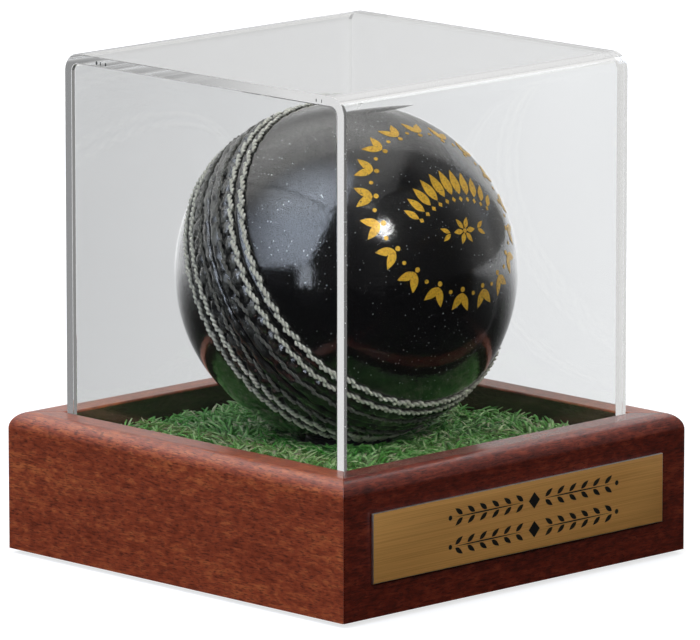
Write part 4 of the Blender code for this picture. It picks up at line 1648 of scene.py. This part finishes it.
@dataclass
class Ball:
    """The cricket ball: lacquered leather, a six-row sewn seam and gold foil ornament."""

    radius: float = 0.0358
    leather: float = 0.003
    seam_gap: float = 0.0002
    pole_elevation: float = math.radians(31.1)
    pole_turn: float = math.radians(1.8)
    inner_row: float = 0.0067
    outer_row: float = 0.00965
    dark_row: float = 0.003
    white_stitches: int = 60
    dark_stitches: int = 52
    turns_round: int = 600
    band: float = 0.0115
    band_steps: int = 44
    crown_steps: int = 16
    lining_steps: int = 5
    white_stitch: Stitch = Stitch(slant=0.00055, bundle=0.00058, twists=2.1, steps=26)
    dark_stitch: Stitch = Stitch(slant=0.0005, bundle=0.00042, twists=2.0, steps=14)
    white_root: float = 0.0001
    dark_root: float = 0.0002
    thread_crown: float = 0.0005
    dark_lift: float = 0.0001
    stray_share: float = 0.06
    wobble: float = 0.05
    slant_shares: Pair = (0.85, 1.2)
    height_shares: Pair = (0.9, 1.1)
    lift_spread: float = 0.00004
    lip: Hump = Hump(0.00036, 0.0011, 0.001)
    seam_groove: Hump = Hump(-0.0005, 0.0, 0.00028)
    pulled_fold: Hump = Hump(0.0005, 0.005, 0.0009)
    waved_fold: Hump = Hump(0.00014, 0.0036, 0.0007)
    groove_width: float = 0.0006
    groove_depth: float = 0.0003
    hole_shift: float = 0.0009
    lump_sizes: Triple = (0.0011, 0.0023, 0.006)
    lump_heights: Triple = (0.0001, 0.00038, 0.00008)
    wave_slant: float = 900.0
    pucker_slant: float = 500.0
    worked_fade: float = 0.0008
    band_fade: float = 0.0012
    reach: ClassVar[float] = 0.03674

    @staticmethod
    def centre() -> Vector:
        """Gives the ball's middle: the middle of its core."""
        low, high = node_box("ball_core")
        return (low + high) / 2

    def place(self) -> Matrix:
        """Gives the ball's own axes, with Z through the middle of its stamped half."""
        turn = Euler((QUARTER - self.pole_elevation, 0.0, self.pole_turn)).to_matrix().to_4x4()
        return Matrix.Translation(self.centre()) @ turn

    def build(self) -> None:
        """Builds and dresses every piece of the ball."""
        pole = self.place().to_3x3() @ Vector((0.0, 0.0, 1.0))
        hide = LacqueredLeather(self.centre(), pole, self.radius).build()
        halves = (
            ("front", 1, ["leather_front_left", "leather_front_right"]),
            ("back", -1, ["leather_back_upper", "leather_back_lower"]),
        )
        for name, side, nodes in halves:
            self.make_cup(name, side, nodes, hide)
        self.make_rows()
        FoilOrnament(self.place(), self.radius).build()
        dress_nodes({"ball_core": Cloth("cork_and_yarn_core", "#5c4329", "#8a6a45", 1.6)})

    def relief(self, distance: float, turn: float, point: Vector) -> float:
        """Gives how far the leather stands proud of the ball's sphere.

        Args:
            distance: How far round the sphere it is from the seam.
            turn: How far round the seam it is, in radians.
            point: The same place in the ball's own axes.

        Returns:
            The rise, negative in a groove.
        """
        if distance > self.band:
            return 0.0
        fine, lumps, broad = (
            height * noise.noise(point / size) for size, height in zip(self.lump_sizes, self.lump_heights)
        )
        wave = 0.5 + 0.5 * math.cos(turn * self.dark_stitches + distance * self.wave_slant)
        pucker = 0.5 + 0.5 * math.cos(turn * self.white_stitches + distance * self.pucker_slant)
        worked = min(max((self.inner_row - distance) / self.worked_fade, 0.0), 1.0)
        rows = (self.inner_row, self.outer_row)
        dark_groove = Hump(-0.0002, self.dark_row, 0.0005)
        holes = Hump(-0.0006, self.inner_row - self.hole_shift, 0.0005)
        grooves = [Hump(-self.groove_depth, row, self.groove_width) for row in rows]
        ridge = Hump(0.00012, sum(rows) / 2, self.groove_width)
        shares = (
            (self.lip, 1.0), (self.seam_groove, 1.0), (self.pulled_fold, 1.0 - (1.0 - pucker) ** 4),
            (self.waved_fold, wave), (dark_groove, 1.0), (holes, (1.0 - pucker) ** 3),
            (grooves[0], 1.0 + pucker / 3), (grooves[1], 1.0 + pucker / 3), (ridge, 1.0),
        )
        rise = sum(share * hump.rise(distance) for hump, share in shares) + (lumps + fine) * worked
        fade = min((self.band - distance) / self.band_fade, 1.0)
        return (rise + broad) * fade

    def make_cup(self, name: str, side: int, nodes: Sequence[str], hide: Material) -> None:
        """Makes one half of the leather, turned about the pole and then raised along the seam.

        Args:
            name: front or back.
            side: 1 for the half that faces +Z of the ball, -1 for the other.
            nodes: The CAD nodes that it stands for.
            hide: Its material.
        """
        lip = self.seam_gap / 2
        inside = self.radius - self.leather
        bm = bmesh.new()
        first = bm.verts.new((inside, 0.0, 0.0))
        outer_start = bm.verts.new((self.radius, 0.0, 0.0))
        bm.edges.new((first, outer_start))
        band_angle = self.band / self.radius
        last = outer_start
        for angle, steps in ((band_angle, self.band_steps), (QUARTER - band_angle, self.crown_steps)):
            last = spin(bm, [last], DOWN_THE_ARC, angle, steps)[0]
        spin(bm, [first], DOWN_THE_ARC, QUARTER, self.lining_steps)
        spin(bm, bm.verts[:] + bm.edges[:], UPRIGHT, 2 * math.pi, self.turns_round, use_merge=True)
        bmesh.ops.remove_doubles(bm, verts=bm.verts, dist=WELD)
        bmesh.ops.recalc_face_normals(bm, faces=bm.faces)
        for vert in bm.verts:
            if vert.co.length > self.radius - self.leather / 2:
                latitude = math.asin(min(vert.co.z / vert.co.length, 1.0))
                turn = math.atan2(vert.co.y, vert.co.x)
                rise = self.relief(latitude * self.radius, turn, vert.co * side + Vector((0.0, 0.0, side)))
                vert.co *= 1.0 + rise / self.radius
            vert.co.z = max(vert.co.z, lip)
        if side < 0:
            bmesh.ops.rotate(bm, verts=bm.verts, matrix=Matrix.Rotation(math.pi, 3, "X"))
        bmesh.ops.transform(bm, matrix=self.place(), verts=bm.verts)
        make_piece(f"ball_leather_{name}", bm, [hide], "ball", nodes, angle=math.radians(60))

    def make_row(
        self, name: str, node: str, distance: float, count: int, template: Mesh,
        lift: float, finish: Material, seed: int,
    ) -> None:
        """Sews one row of stitches round the ball.

        Args:
            name: The piece's name.
            node: The CAD node that it stands for.
            distance: How far round the sphere it lies from the seam, negative on the back half.
            count: How many stitches it has.
            template: The stitch.
            lift: How far the thread's middle stands off the sphere.
            finish: Its material.
            seed: What its small irregularities start from.
        """
        latitude = distance / self.radius
        chance = random.Random(seed)
        bm = bmesh.new()
        mirrored = Matrix.Diagonal((1.0, -1.0 if distance < 0 else 1.0, 1.0, 1.0))
        for index in range(count):
            turn = 2 * math.pi * (index + chance.uniform(-self.stray_share, self.stray_share)) / count
            level = math.cos(latitude)
            out = Vector((math.cos(turn) * level, math.sin(turn) * level, math.sin(latitude)))
            along = Vector((-math.sin(turn), math.cos(turn), 0.0))
            across = out.cross(along)
            axes = Matrix((along, across, out)).transposed().to_4x4()
            wobble = Matrix.Rotation(chance.gauss(0.0, self.wobble), 4, "Z")
            slant = chance.uniform(*self.slant_shares)
            stretch = Matrix.Diagonal((1.0, slant, chance.uniform(*self.height_shares), 1.0))
            rise = lift + chance.uniform(-self.lift_spread, self.lift_spread)
            spot = Matrix.Translation(out * (self.radius + rise))
            stitch = template.copy()
            stitch.transform(self.place() @ spot @ axes @ wobble @ stretch @ mirrored)
            bm.from_mesh(stitch)
            bpy.data.meshes.remove(stitch)
        bmesh.ops.recalc_face_normals(bm, faces=bm.faces)
        make_piece(name, bm, [finish], "ball", [node], angle=math.pi)

    def make_rows(self) -> None:
        """Sews the four white rows and the two dark ones."""
        circle = 2 * math.pi * self.radius
        crown = self.radius + self.thread_crown
        white = Thread(self.centre(), self.radius - self.white_root, crown).build()
        # The black thread's grey crowns are dust with a painted highlight.
        dark = Thread(
            self.centre(), self.radius - self.dark_root, crown,
            "waxed_black_thread", "#0f0f0e", "#74736c", 0.45,
        ).build()
        pale = self.white_stitch.shape(circle / self.white_stitches)
        black = self.dark_stitch.shape(circle / self.dark_stitches)
        seed = 40
        for name, side in (("front", 1), ("back", -1)):
            for row, distance in (("inner", self.inner_row), ("outer", self.outer_row)):
                node = f"stitch_row_{name}_{row}"
                self.make_row(
                    f"thread_row_{name}_{row}", node, side * distance, self.white_stitches, pale,
                    0.0, white, seed,
                )
                seed += 1
            self.make_row(
                f"thread_seam_{name}", "seam_stitches_" + name, side * self.dark_row, self.dark_stitches,
                black, self.dark_lift, dark, seed,
            )
            seed += 1
        for template in (pale, black):
            bpy.data.meshes.remove(template)


@dataclass
class FoilOrnament:
    """The gold foil: a wreath of leaf pairs, an arched garland and a rosette with two sprigs.

    Everything is drawn flat round the ball's pole and then pressed onto its sphere.
    """

    place: Matrix
    radius: float
    lift: float = 0.00002
    thickness: float = 0.00003
    wreath_radius: float = 0.0194
    wreath_units: int = 18
    wreath_splay: float = math.radians(32)
    wreath_leaf: Pair = (0.0044, 0.0018)
    leaf_shift: float = 0.002
    wreath_dot: Pair = (0.0011, 0.0011)
    dot_shift: float = -0.0009
    spacer_dot: Pair = (0.0009, 0.0009)
    garland_petals: int = 11
    garland_radius: float = 0.0175
    garland_half_arc: float = math.radians(45)
    garland_drop: float = 0.0125
    garland_petal: Pair = (0.0062, 0.0024)
    garland_shrink: float = 0.35
    foot_shift: float = 0.0042
    foot_lozenge: Pair = (0.0013, 0.0011)
    rosette_petals: int = 6
    rosette_drop: float = 0.0062
    rosette_petal: Pair = (0.0026, 0.0012)
    petal_shift_share: float = 0.72
    rosette_dot: Pair = (0.001, 0.001)
    sprig_leaf: Pair = (0.0026, 0.001)
    sprig_spot: Pair = (0.0054, 0.0008)
    sprig_splay: float = math.radians(30)

    def build(self) -> None:
        """Builds the ornament as one piece."""
        bm = bmesh.new()
        self.add_wreath(bm)
        self.add_garland(bm)
        self.add_rosette(bm)
        bmesh.ops.recalc_face_normals(bm, faces=bm.faces)
        bmesh.ops.transform(bm, matrix=self.place, verts=bm.verts)
        gold = GoldFoil().build()
        make_piece("ball_foil_ornament", bm, [gold], "ball", angle=math.radians(50))

    def add_wreath(self, bm: BMesh) -> None:
        """Adds the wreath: pairs of leaves with a dot at each foot and one between."""
        for unit in range(self.wreath_units):
            turn = 2 * math.pi * unit / self.wreath_units
            for splay in (-1, 1):
                lean = Matrix.Rotation(splay * self.wreath_splay, 4, "Z")
                leaf = lean @ Matrix.Translation((self.leaf_shift, 0.0, 0.0))
                self.add_foil(bm, Motif.LEAF, self.wreath_leaf, leaf, self.wreath_radius, turn)
            dot = Matrix.Translation((self.dot_shift, 0.0, 0.0))
            self.add_foil(bm, Motif.DOT, self.wreath_dot, dot, self.wreath_radius, turn)
            between = turn + math.pi / self.wreath_units
            self.add_foil(bm, Motif.DOT, self.spacer_dot, Matrix.Identity(4), self.wreath_radius, between)

    def add_garland(self, bm: BMesh) -> None:
        """Adds the arched garland over the pole: upright petals that grow towards its middle."""
        length, width = self.garland_petal
        for index in range(self.garland_petals):
            share = 2 * index / (self.garland_petals - 1) - 1
            turn = Matrix.Rotation(QUARTER - share * self.garland_half_arc, 4, "Z")
            grow = 1.0 - self.garland_shrink * share**2
            spot = Matrix.Translation((0.0, -self.garland_drop, 0.0)) @ turn
            petal = spot @ Matrix.Translation((self.garland_radius, 0.0, 0.0))
            self.add_foil(bm, Motif.LEAF, (length * grow, width * grow), petal)
            foot = spot @ Matrix.Translation((self.garland_radius - self.foot_shift * grow, 0.0, 0.0))
            self.add_foil(bm, Motif.LOZENGE, self.foot_lozenge, foot)

    def add_rosette(self, bm: BMesh) -> None:
        """Adds the small rosette under the garland, with a sprig on each side."""
        middle = Matrix.Translation((0.0, -self.rosette_drop, 0.0))
        out = Matrix.Translation((self.rosette_petal[0] * self.petal_shift_share, 0.0, 0.0))
        for petal in range(self.rosette_petals):
            turn = Matrix.Rotation(2 * math.pi * petal / self.rosette_petals, 4, "Z")
            self.add_foil(bm, Motif.LEAF, self.rosette_petal, middle @ turn @ out)
        self.add_foil(bm, Motif.DOT, self.rosette_dot, middle)
        away, rise = self.sprig_spot
        for side in (-1, 1):
            for up in (-1, 1):
                spot = Matrix.Translation((side * away, up * rise, 0.0))
                turn = (0.0 if side > 0 else math.pi) + up * side * self.sprig_splay
                facing = Matrix.Rotation(turn, 4, "Z")
                self.add_foil(bm, Motif.LEAF, self.sprig_leaf, middle @ spot @ facing)

    def add_foil(
        self, bm: BMesh, motif: Motif, size: Pair, lean: Matrix,
        from_pole: float = 0.0, turn: float = 0.0,
    ) -> None:
        """Presses one motif onto the leather.

        Args:
            bm: The mesh it goes into.
            motif: Which outline.
            size: Its length, away from the pole, and its width.
            lean: Its own turn and shift before it is placed.
            from_pole: How far round the sphere it lies from the pole.
            turn: How far round the pole, in radians.
        """
        flat = bmesh.new()
        add_motif(flat, motif, *size, lean)
        bmesh.ops.triangulate(flat, faces=flat.faces[:])
        bmesh.ops.poke(flat, faces=flat.faces[:])
        bmesh.ops.subdivide_edges(flat, edges=flat.edges[:], cuts=1)
        drawn = bmesh.ops.extrude_face_region(flat, geom=flat.faces[:])["geom"]
        raised = {part for part in drawn if isinstance(part, BMVert)}
        tilt = Matrix.Rotation(turn, 4, "Z") @ Matrix.Rotation(from_pole / self.radius, 4, "Y")
        for vert in flat.verts:
            reach = self.radius + self.lift + (self.thickness if vert in raised else 0.0)
            across = Vector((vert.co.x, vert.co.y, self.radius)).normalized()
            vert.co = tilt @ (across * reach)
        mesh = bpy.data.meshes.new("foil")
        flat.to_mesh(mesh)
        flat.free()
        bm.from_mesh(mesh)
        bpy.data.meshes.remove(mesh)


# The studio


@dataclass(frozen=True)
class SoftLight:
    """One bright patch of the surroundings, or a shade in one where its strength is negative.

    Each limit is a direction in the camera's right, up and back, with the cosines to it at which
    the patch is dark and at which it is full. Where there are several, all of them hold.
    """

    name: str
    colour: str
    strength: float
    limits: tuple[tuple[Triple, float, float], ...]


@dataclass
class Studio:
    """The pale floor, the soft light and the camera at the photograph's angle.

    Directions are given in the camera's right, up and back at rest, and stay fixed in the world.
    """

    azimuth: float = math.radians(-44.553)
    elevation: float = math.radians(11.021)
    distance: float = 1.8283
    target_right: float = 0.000773
    target_height: float = 0.05069
    lens: float = 442.27
    floor_size: float = 16.0
    floor_paper: str = "#a6a6a6"
    floor_table: str = "#1c1b1a"
    floor_glow: float = 0.72
    seen_through: Pair = (0.588, 0.82)
    seen_width: float = 0.065
    led_share: float = 0.62
    backdrop_start: float = 0.05
    backdrop_end: float = 0.4
    front_light: float = 0.05
    back_light: float = 0.34
    wall_span: Pair = (-0.2, 0.45)
    clip: Pair = (0.05, 60.0)
    lights: tuple[SoftLight, ...] = (
        SoftLight("backdrop", "#ffffff", 0.6, (((-0.29, 0.597, -0.748), 0.56, 0.62),)),
        SoftLight("far_shade", "#ffffff", -0.32, (((-0.06, 0.375, -0.925), 0.87, 0.97),)),
        SoftLight(
            "overhead", "#ffffff", 0.88, (((-0.2, 0.95, 0.1), 0.64, 0.88), ((-1.0, 0.0, 0.0), -0.5, -0.42)),
        ),
        SoftLight(
            "window", "#e0ebff", 4.3,
            (
                ((-0.25, 0.4, 0.88), 0.45, 1.0), ((0.0, 1.0, 0.0), 0.0, 0.09),
                ((-0.884, 0.468, 0.0), 0.36, 0.43),
            ),
        ),
        SoftLight(
            "doorway", "#e6efff", 3.6,
            (
                ((1.0, 0.0, 0.0), -0.53, -0.48), ((-1.0, 0.0, 0.0), 0.33, 0.38),
                ((0.0, 1.0, 0.0), -0.7, -0.2), ((0.0, -1.0, 0.0), -0.09, 0.0),
            ),
        ),
        SoftLight("lamp", "#ffffff", 32.0, (((0.382, 0.466, 0.797), 0.994, 0.998),)),
    )

    def axes(self) -> tuple[Vector, Vector, Vector]:
        """Gives the camera's right, up and backward directions."""
        a, e = self.azimuth, self.elevation
        back = Vector((math.sin(a) * math.cos(e), -math.cos(a) * math.cos(e), math.sin(e)))
        right = Vector((math.cos(a), math.sin(a), 0.0))
        return right, back.cross(right), back

    def build(self) -> None:
        """Builds the floor, the world and the camera."""
        self.make_floor()
        self.make_world()
        self.make_camera()
        bpy.context.scene.view_settings.view_transform = "Standard"

    def seen_rays(self, tree: NodeTree) -> tuple[Node, NodeSocket]:
        """Picks out the rays that show the background.

        They are the camera's own, those straight through acrylic, and those led along one sheet.

        Args:
            tree: The node tree that asks.

        Returns:
            The light path node, and a socket that is 1 for such a ray.
        """
        rays = add_node(tree, "LightPath")
        bounced = add_node(
            tree, "Math", {"operation": "ADD"},
            {0: rays.outputs["Glossy Depth"], 1: rays.outputs["Diffuse Depth"]},
        )
        straight = add_node(tree, "Math", {"operation": "LESS_THAN", 1: 0.5}, {0: bounced})
        through = add_node(tree, "Math", MULTIPLY, {0: rays.outputs["Is Transmission Ray"], 1: straight})
        guided = add_node(
            tree, "Math", {"operation": "GREATER_THAN", 1: 1.5}, {0: rays.outputs["Glossy Depth"]}
        )
        one_sheet = add_node(
            tree, "Math", {"operation": "LESS_THAN", 1: 2.5}, {0: rays.outputs["Transmission Depth"]}
        )
        inside = add_node(tree, "Math", MULTIPLY, {0: guided, 1: one_sheet})
        led = add_node(tree, "Math", MULTIPLY, {0: rays.outputs["Is Transmission Ray"], 1: inside})
        dimmed = add_node(tree, "Math", {"operation": "MULTIPLY", 1: self.led_share}, {0: led})
        passed = add_node(tree, "Math", {"operation": "MAXIMUM"}, {0: through, 1: dimmed})
        seen = add_node(
            tree, "Math", {"operation": "MAXIMUM"}, {0: rays.outputs["Is Camera Ray"], 1: passed},
        )
        return rays, seen.outputs["Value"]

    def make_floor(self) -> None:
        """Makes the floor, which is also all of the background.

        To the camera it is white paper with a soft shadow, a little greyer on the left where it is
        seen through the case. To reflections it is a dim table that turns to a pale backdrop behind.
        """
        right, _, back = self.axes()
        away = Vector((-back.x, -back.y, 0.0)).normalized()
        made, tree, shader = start_material("white_paper_floor")
        set_node(
            shader, {"Roughness": 0.9, "Specular IOR Level": 0.0, "Emission Color": (1.0, 1.0, 1.0, 1.0)},
            None,
        )
        rays, seen = self.seen_rays(tree)
        coords = add_node(tree, "TexCoord").outputs["Object"]
        behind = add_node(tree, "VectorMath", {"operation": "DOT_PRODUCT", 1: away}, {0: coords})
        backdrop = add_node(
            tree, "MapRange", {**SMOOTH, "From Min": self.backdrop_start, "From Max": self.backdrop_end},
            {"Value": behind},
        )
        across = add_node(tree, "VectorMath", {"operation": "DOT_PRODUCT", 1: right}, {0: coords})
        fall = add_node(
            tree, "MapRange",
            {
                "From Min": -self.seen_width, "From Max": self.seen_width,
                "To Min": self.seen_through[0], "To Max": self.seen_through[1],
            },
            {"Value": across},
        )
        veiled = add_node(tree, "Math", MULTIPLY, {0: seen, 1: rays.outputs["Is Transmission Ray"]})
        plain = add_node(tree, "Mix", {"data_type": "FLOAT", 2: 1.0}, {0: veiled, 3: fall})
        pale = add_node(tree, "Math", {"operation": "MAXIMUM"}, {0: seen, 1: backdrop})
        colour = add_node(
            tree, "Mix", {"data_type": "RGBA", 6: linear(self.floor_table), 7: linear(self.floor_paper)},
            {0: pale},
        )
        level = add_node(tree, "Math", MULTIPLY, {0: pale, 1: plain})
        glow = add_node(tree, "Math", {"operation": "MULTIPLY", 1: self.floor_glow}, {0: level})
        toned = add_node(
            tree, "Mix", {"data_type": "RGBA", "blend_type": "MULTIPLY", 0: 1.0}, {6: colour, 7: plain},
        )
        set_node(shader, None, {"Base Color": toned, "Emission Strength": glow})
        bm = bmesh.new()
        bmesh.ops.create_grid(bm, x_segments=1, y_segments=1, size=self.floor_size / 2)
        mesh = bpy.data.meshes.new("floor")
        bm.to_mesh(mesh)
        bm.free()
        mesh.materials.append(made)
        floor = bpy.data.objects.new("floor", mesh)
        bpy.context.scene.collection.objects.link(floor)

    def make_world(self) -> None:
        """Makes a dim room, paler behind, with the patches of light and shade in it."""
        world = bpy.data.worlds.new("studio")
        bpy.context.scene.world = world
        world.use_nodes = True
        tree = world.node_tree
        tree.nodes.clear()
        rays, seen = self.seen_rays(tree)
        coords = add_node(tree, "TexCoord").outputs["Generated"]
        right, up, back = self.axes()
        away = Vector((-back.x, -back.y, 0.0)).normalized()
        sources = [([(away, *self.wall_span)], self.front_light, self.back_light, "#ffffff")]
        for light in self.lights:
            sides = []
            for towards, start, end in light.limits:
                direction = sum((axis * share for axis, share in zip((right, up, back), towards)), Vector())
                sides.append((direction.normalized(), start, end))
            sources.append((sides, 0.0, light.strength, light.colour))
        total = None
        for sides, weak, strong, tint in sources:
            level = None
            for direction, start, end in sides:
                facing = add_node(
                    tree, "VectorMath", {"operation": "DOT_PRODUCT", 1: direction}, {0: coords},
                )
                first = level is None
                level = add_node(
                    tree, "MapRange",
                    {**SMOOTH, "From Min": start, "From Max": end, "To Min": weak, "To Max": strong},
                    {"Value": facing} if first
                    else {"Value": facing, "To Max": level},
                )
            lobe = add_node(
                tree, "VectorMath", {"operation": "SCALE", 0: linear(tint)[:3]}, {"Scale": level},
            )
            if total is not None:
                lobe = add_node(
                    tree, "VectorMath", {"operation": "ADD"}, {0: total.outputs["Vector"], 1: lobe},
                )
            total = lobe
        scattered = add_node(
            tree, "Math", {"operation": "GREATER_THAN", 1: 0.5}, {0: rays.outputs["Diffuse Depth"]}
        )
        counted = add_node(tree, "Math", MULTIPLY, {0: scattered, 1: rays.outputs["Is Transmission Ray"]})
        strength = add_node(tree, "Math", {"operation": "SUBTRACT", 0: 1.0}, {1: counted})
        shown = add_node(
            tree, "Mix", {"data_type": "RGBA", 7: (1.0, 1.0, 1.0, 1.0)},
            {0: seen, 6: total.outputs["Vector"]},
        )
        light = add_node(tree, "Background", None, {"Color": shown, "Strength": strength})
        output = add_node(tree, "OutputWorld")
        tree.links.new(light.outputs["Background"], output.inputs["Surface"])

    def make_camera(self) -> None:
        """Makes the camera where the photograph was taken from."""
        right, up, back = self.axes()
        target = right * self.target_right + Vector((0.0, 0.0, self.target_height))
        data = bpy.data.cameras.new("camera")
        data.lens = self.lens
        data.clip_start, data.clip_end = self.clip
        camera = bpy.data.objects.new("camera", data)
        turn = Matrix((right, up, back)).transposed().to_4x4()
        camera.matrix_world = Matrix.Translation(target + back * self.distance) @ turn
        bpy.context.scene.collection.objects.link(camera)
        bpy.context.scene.camera = camera


def clear_scene() -> None:
    """Removes whatever the file opens with."""
    for obj in list(bpy.data.objects):
        bpy.data.objects.remove(obj, do_unlink=True)


def main() -> None:
    """Builds the case round its frame and reports each sub-assembly."""
    logging.basicConfig(level=logging.INFO, format="%(name)s: %(message)s")
    clear_scene()
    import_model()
    for part in (Base(), Plaque(), Turf(), Cover(), Ball(), Studio()):
        part.build()
        log.info("%s done", type(part).__name__)


if __name__ == "__main__":
    main()
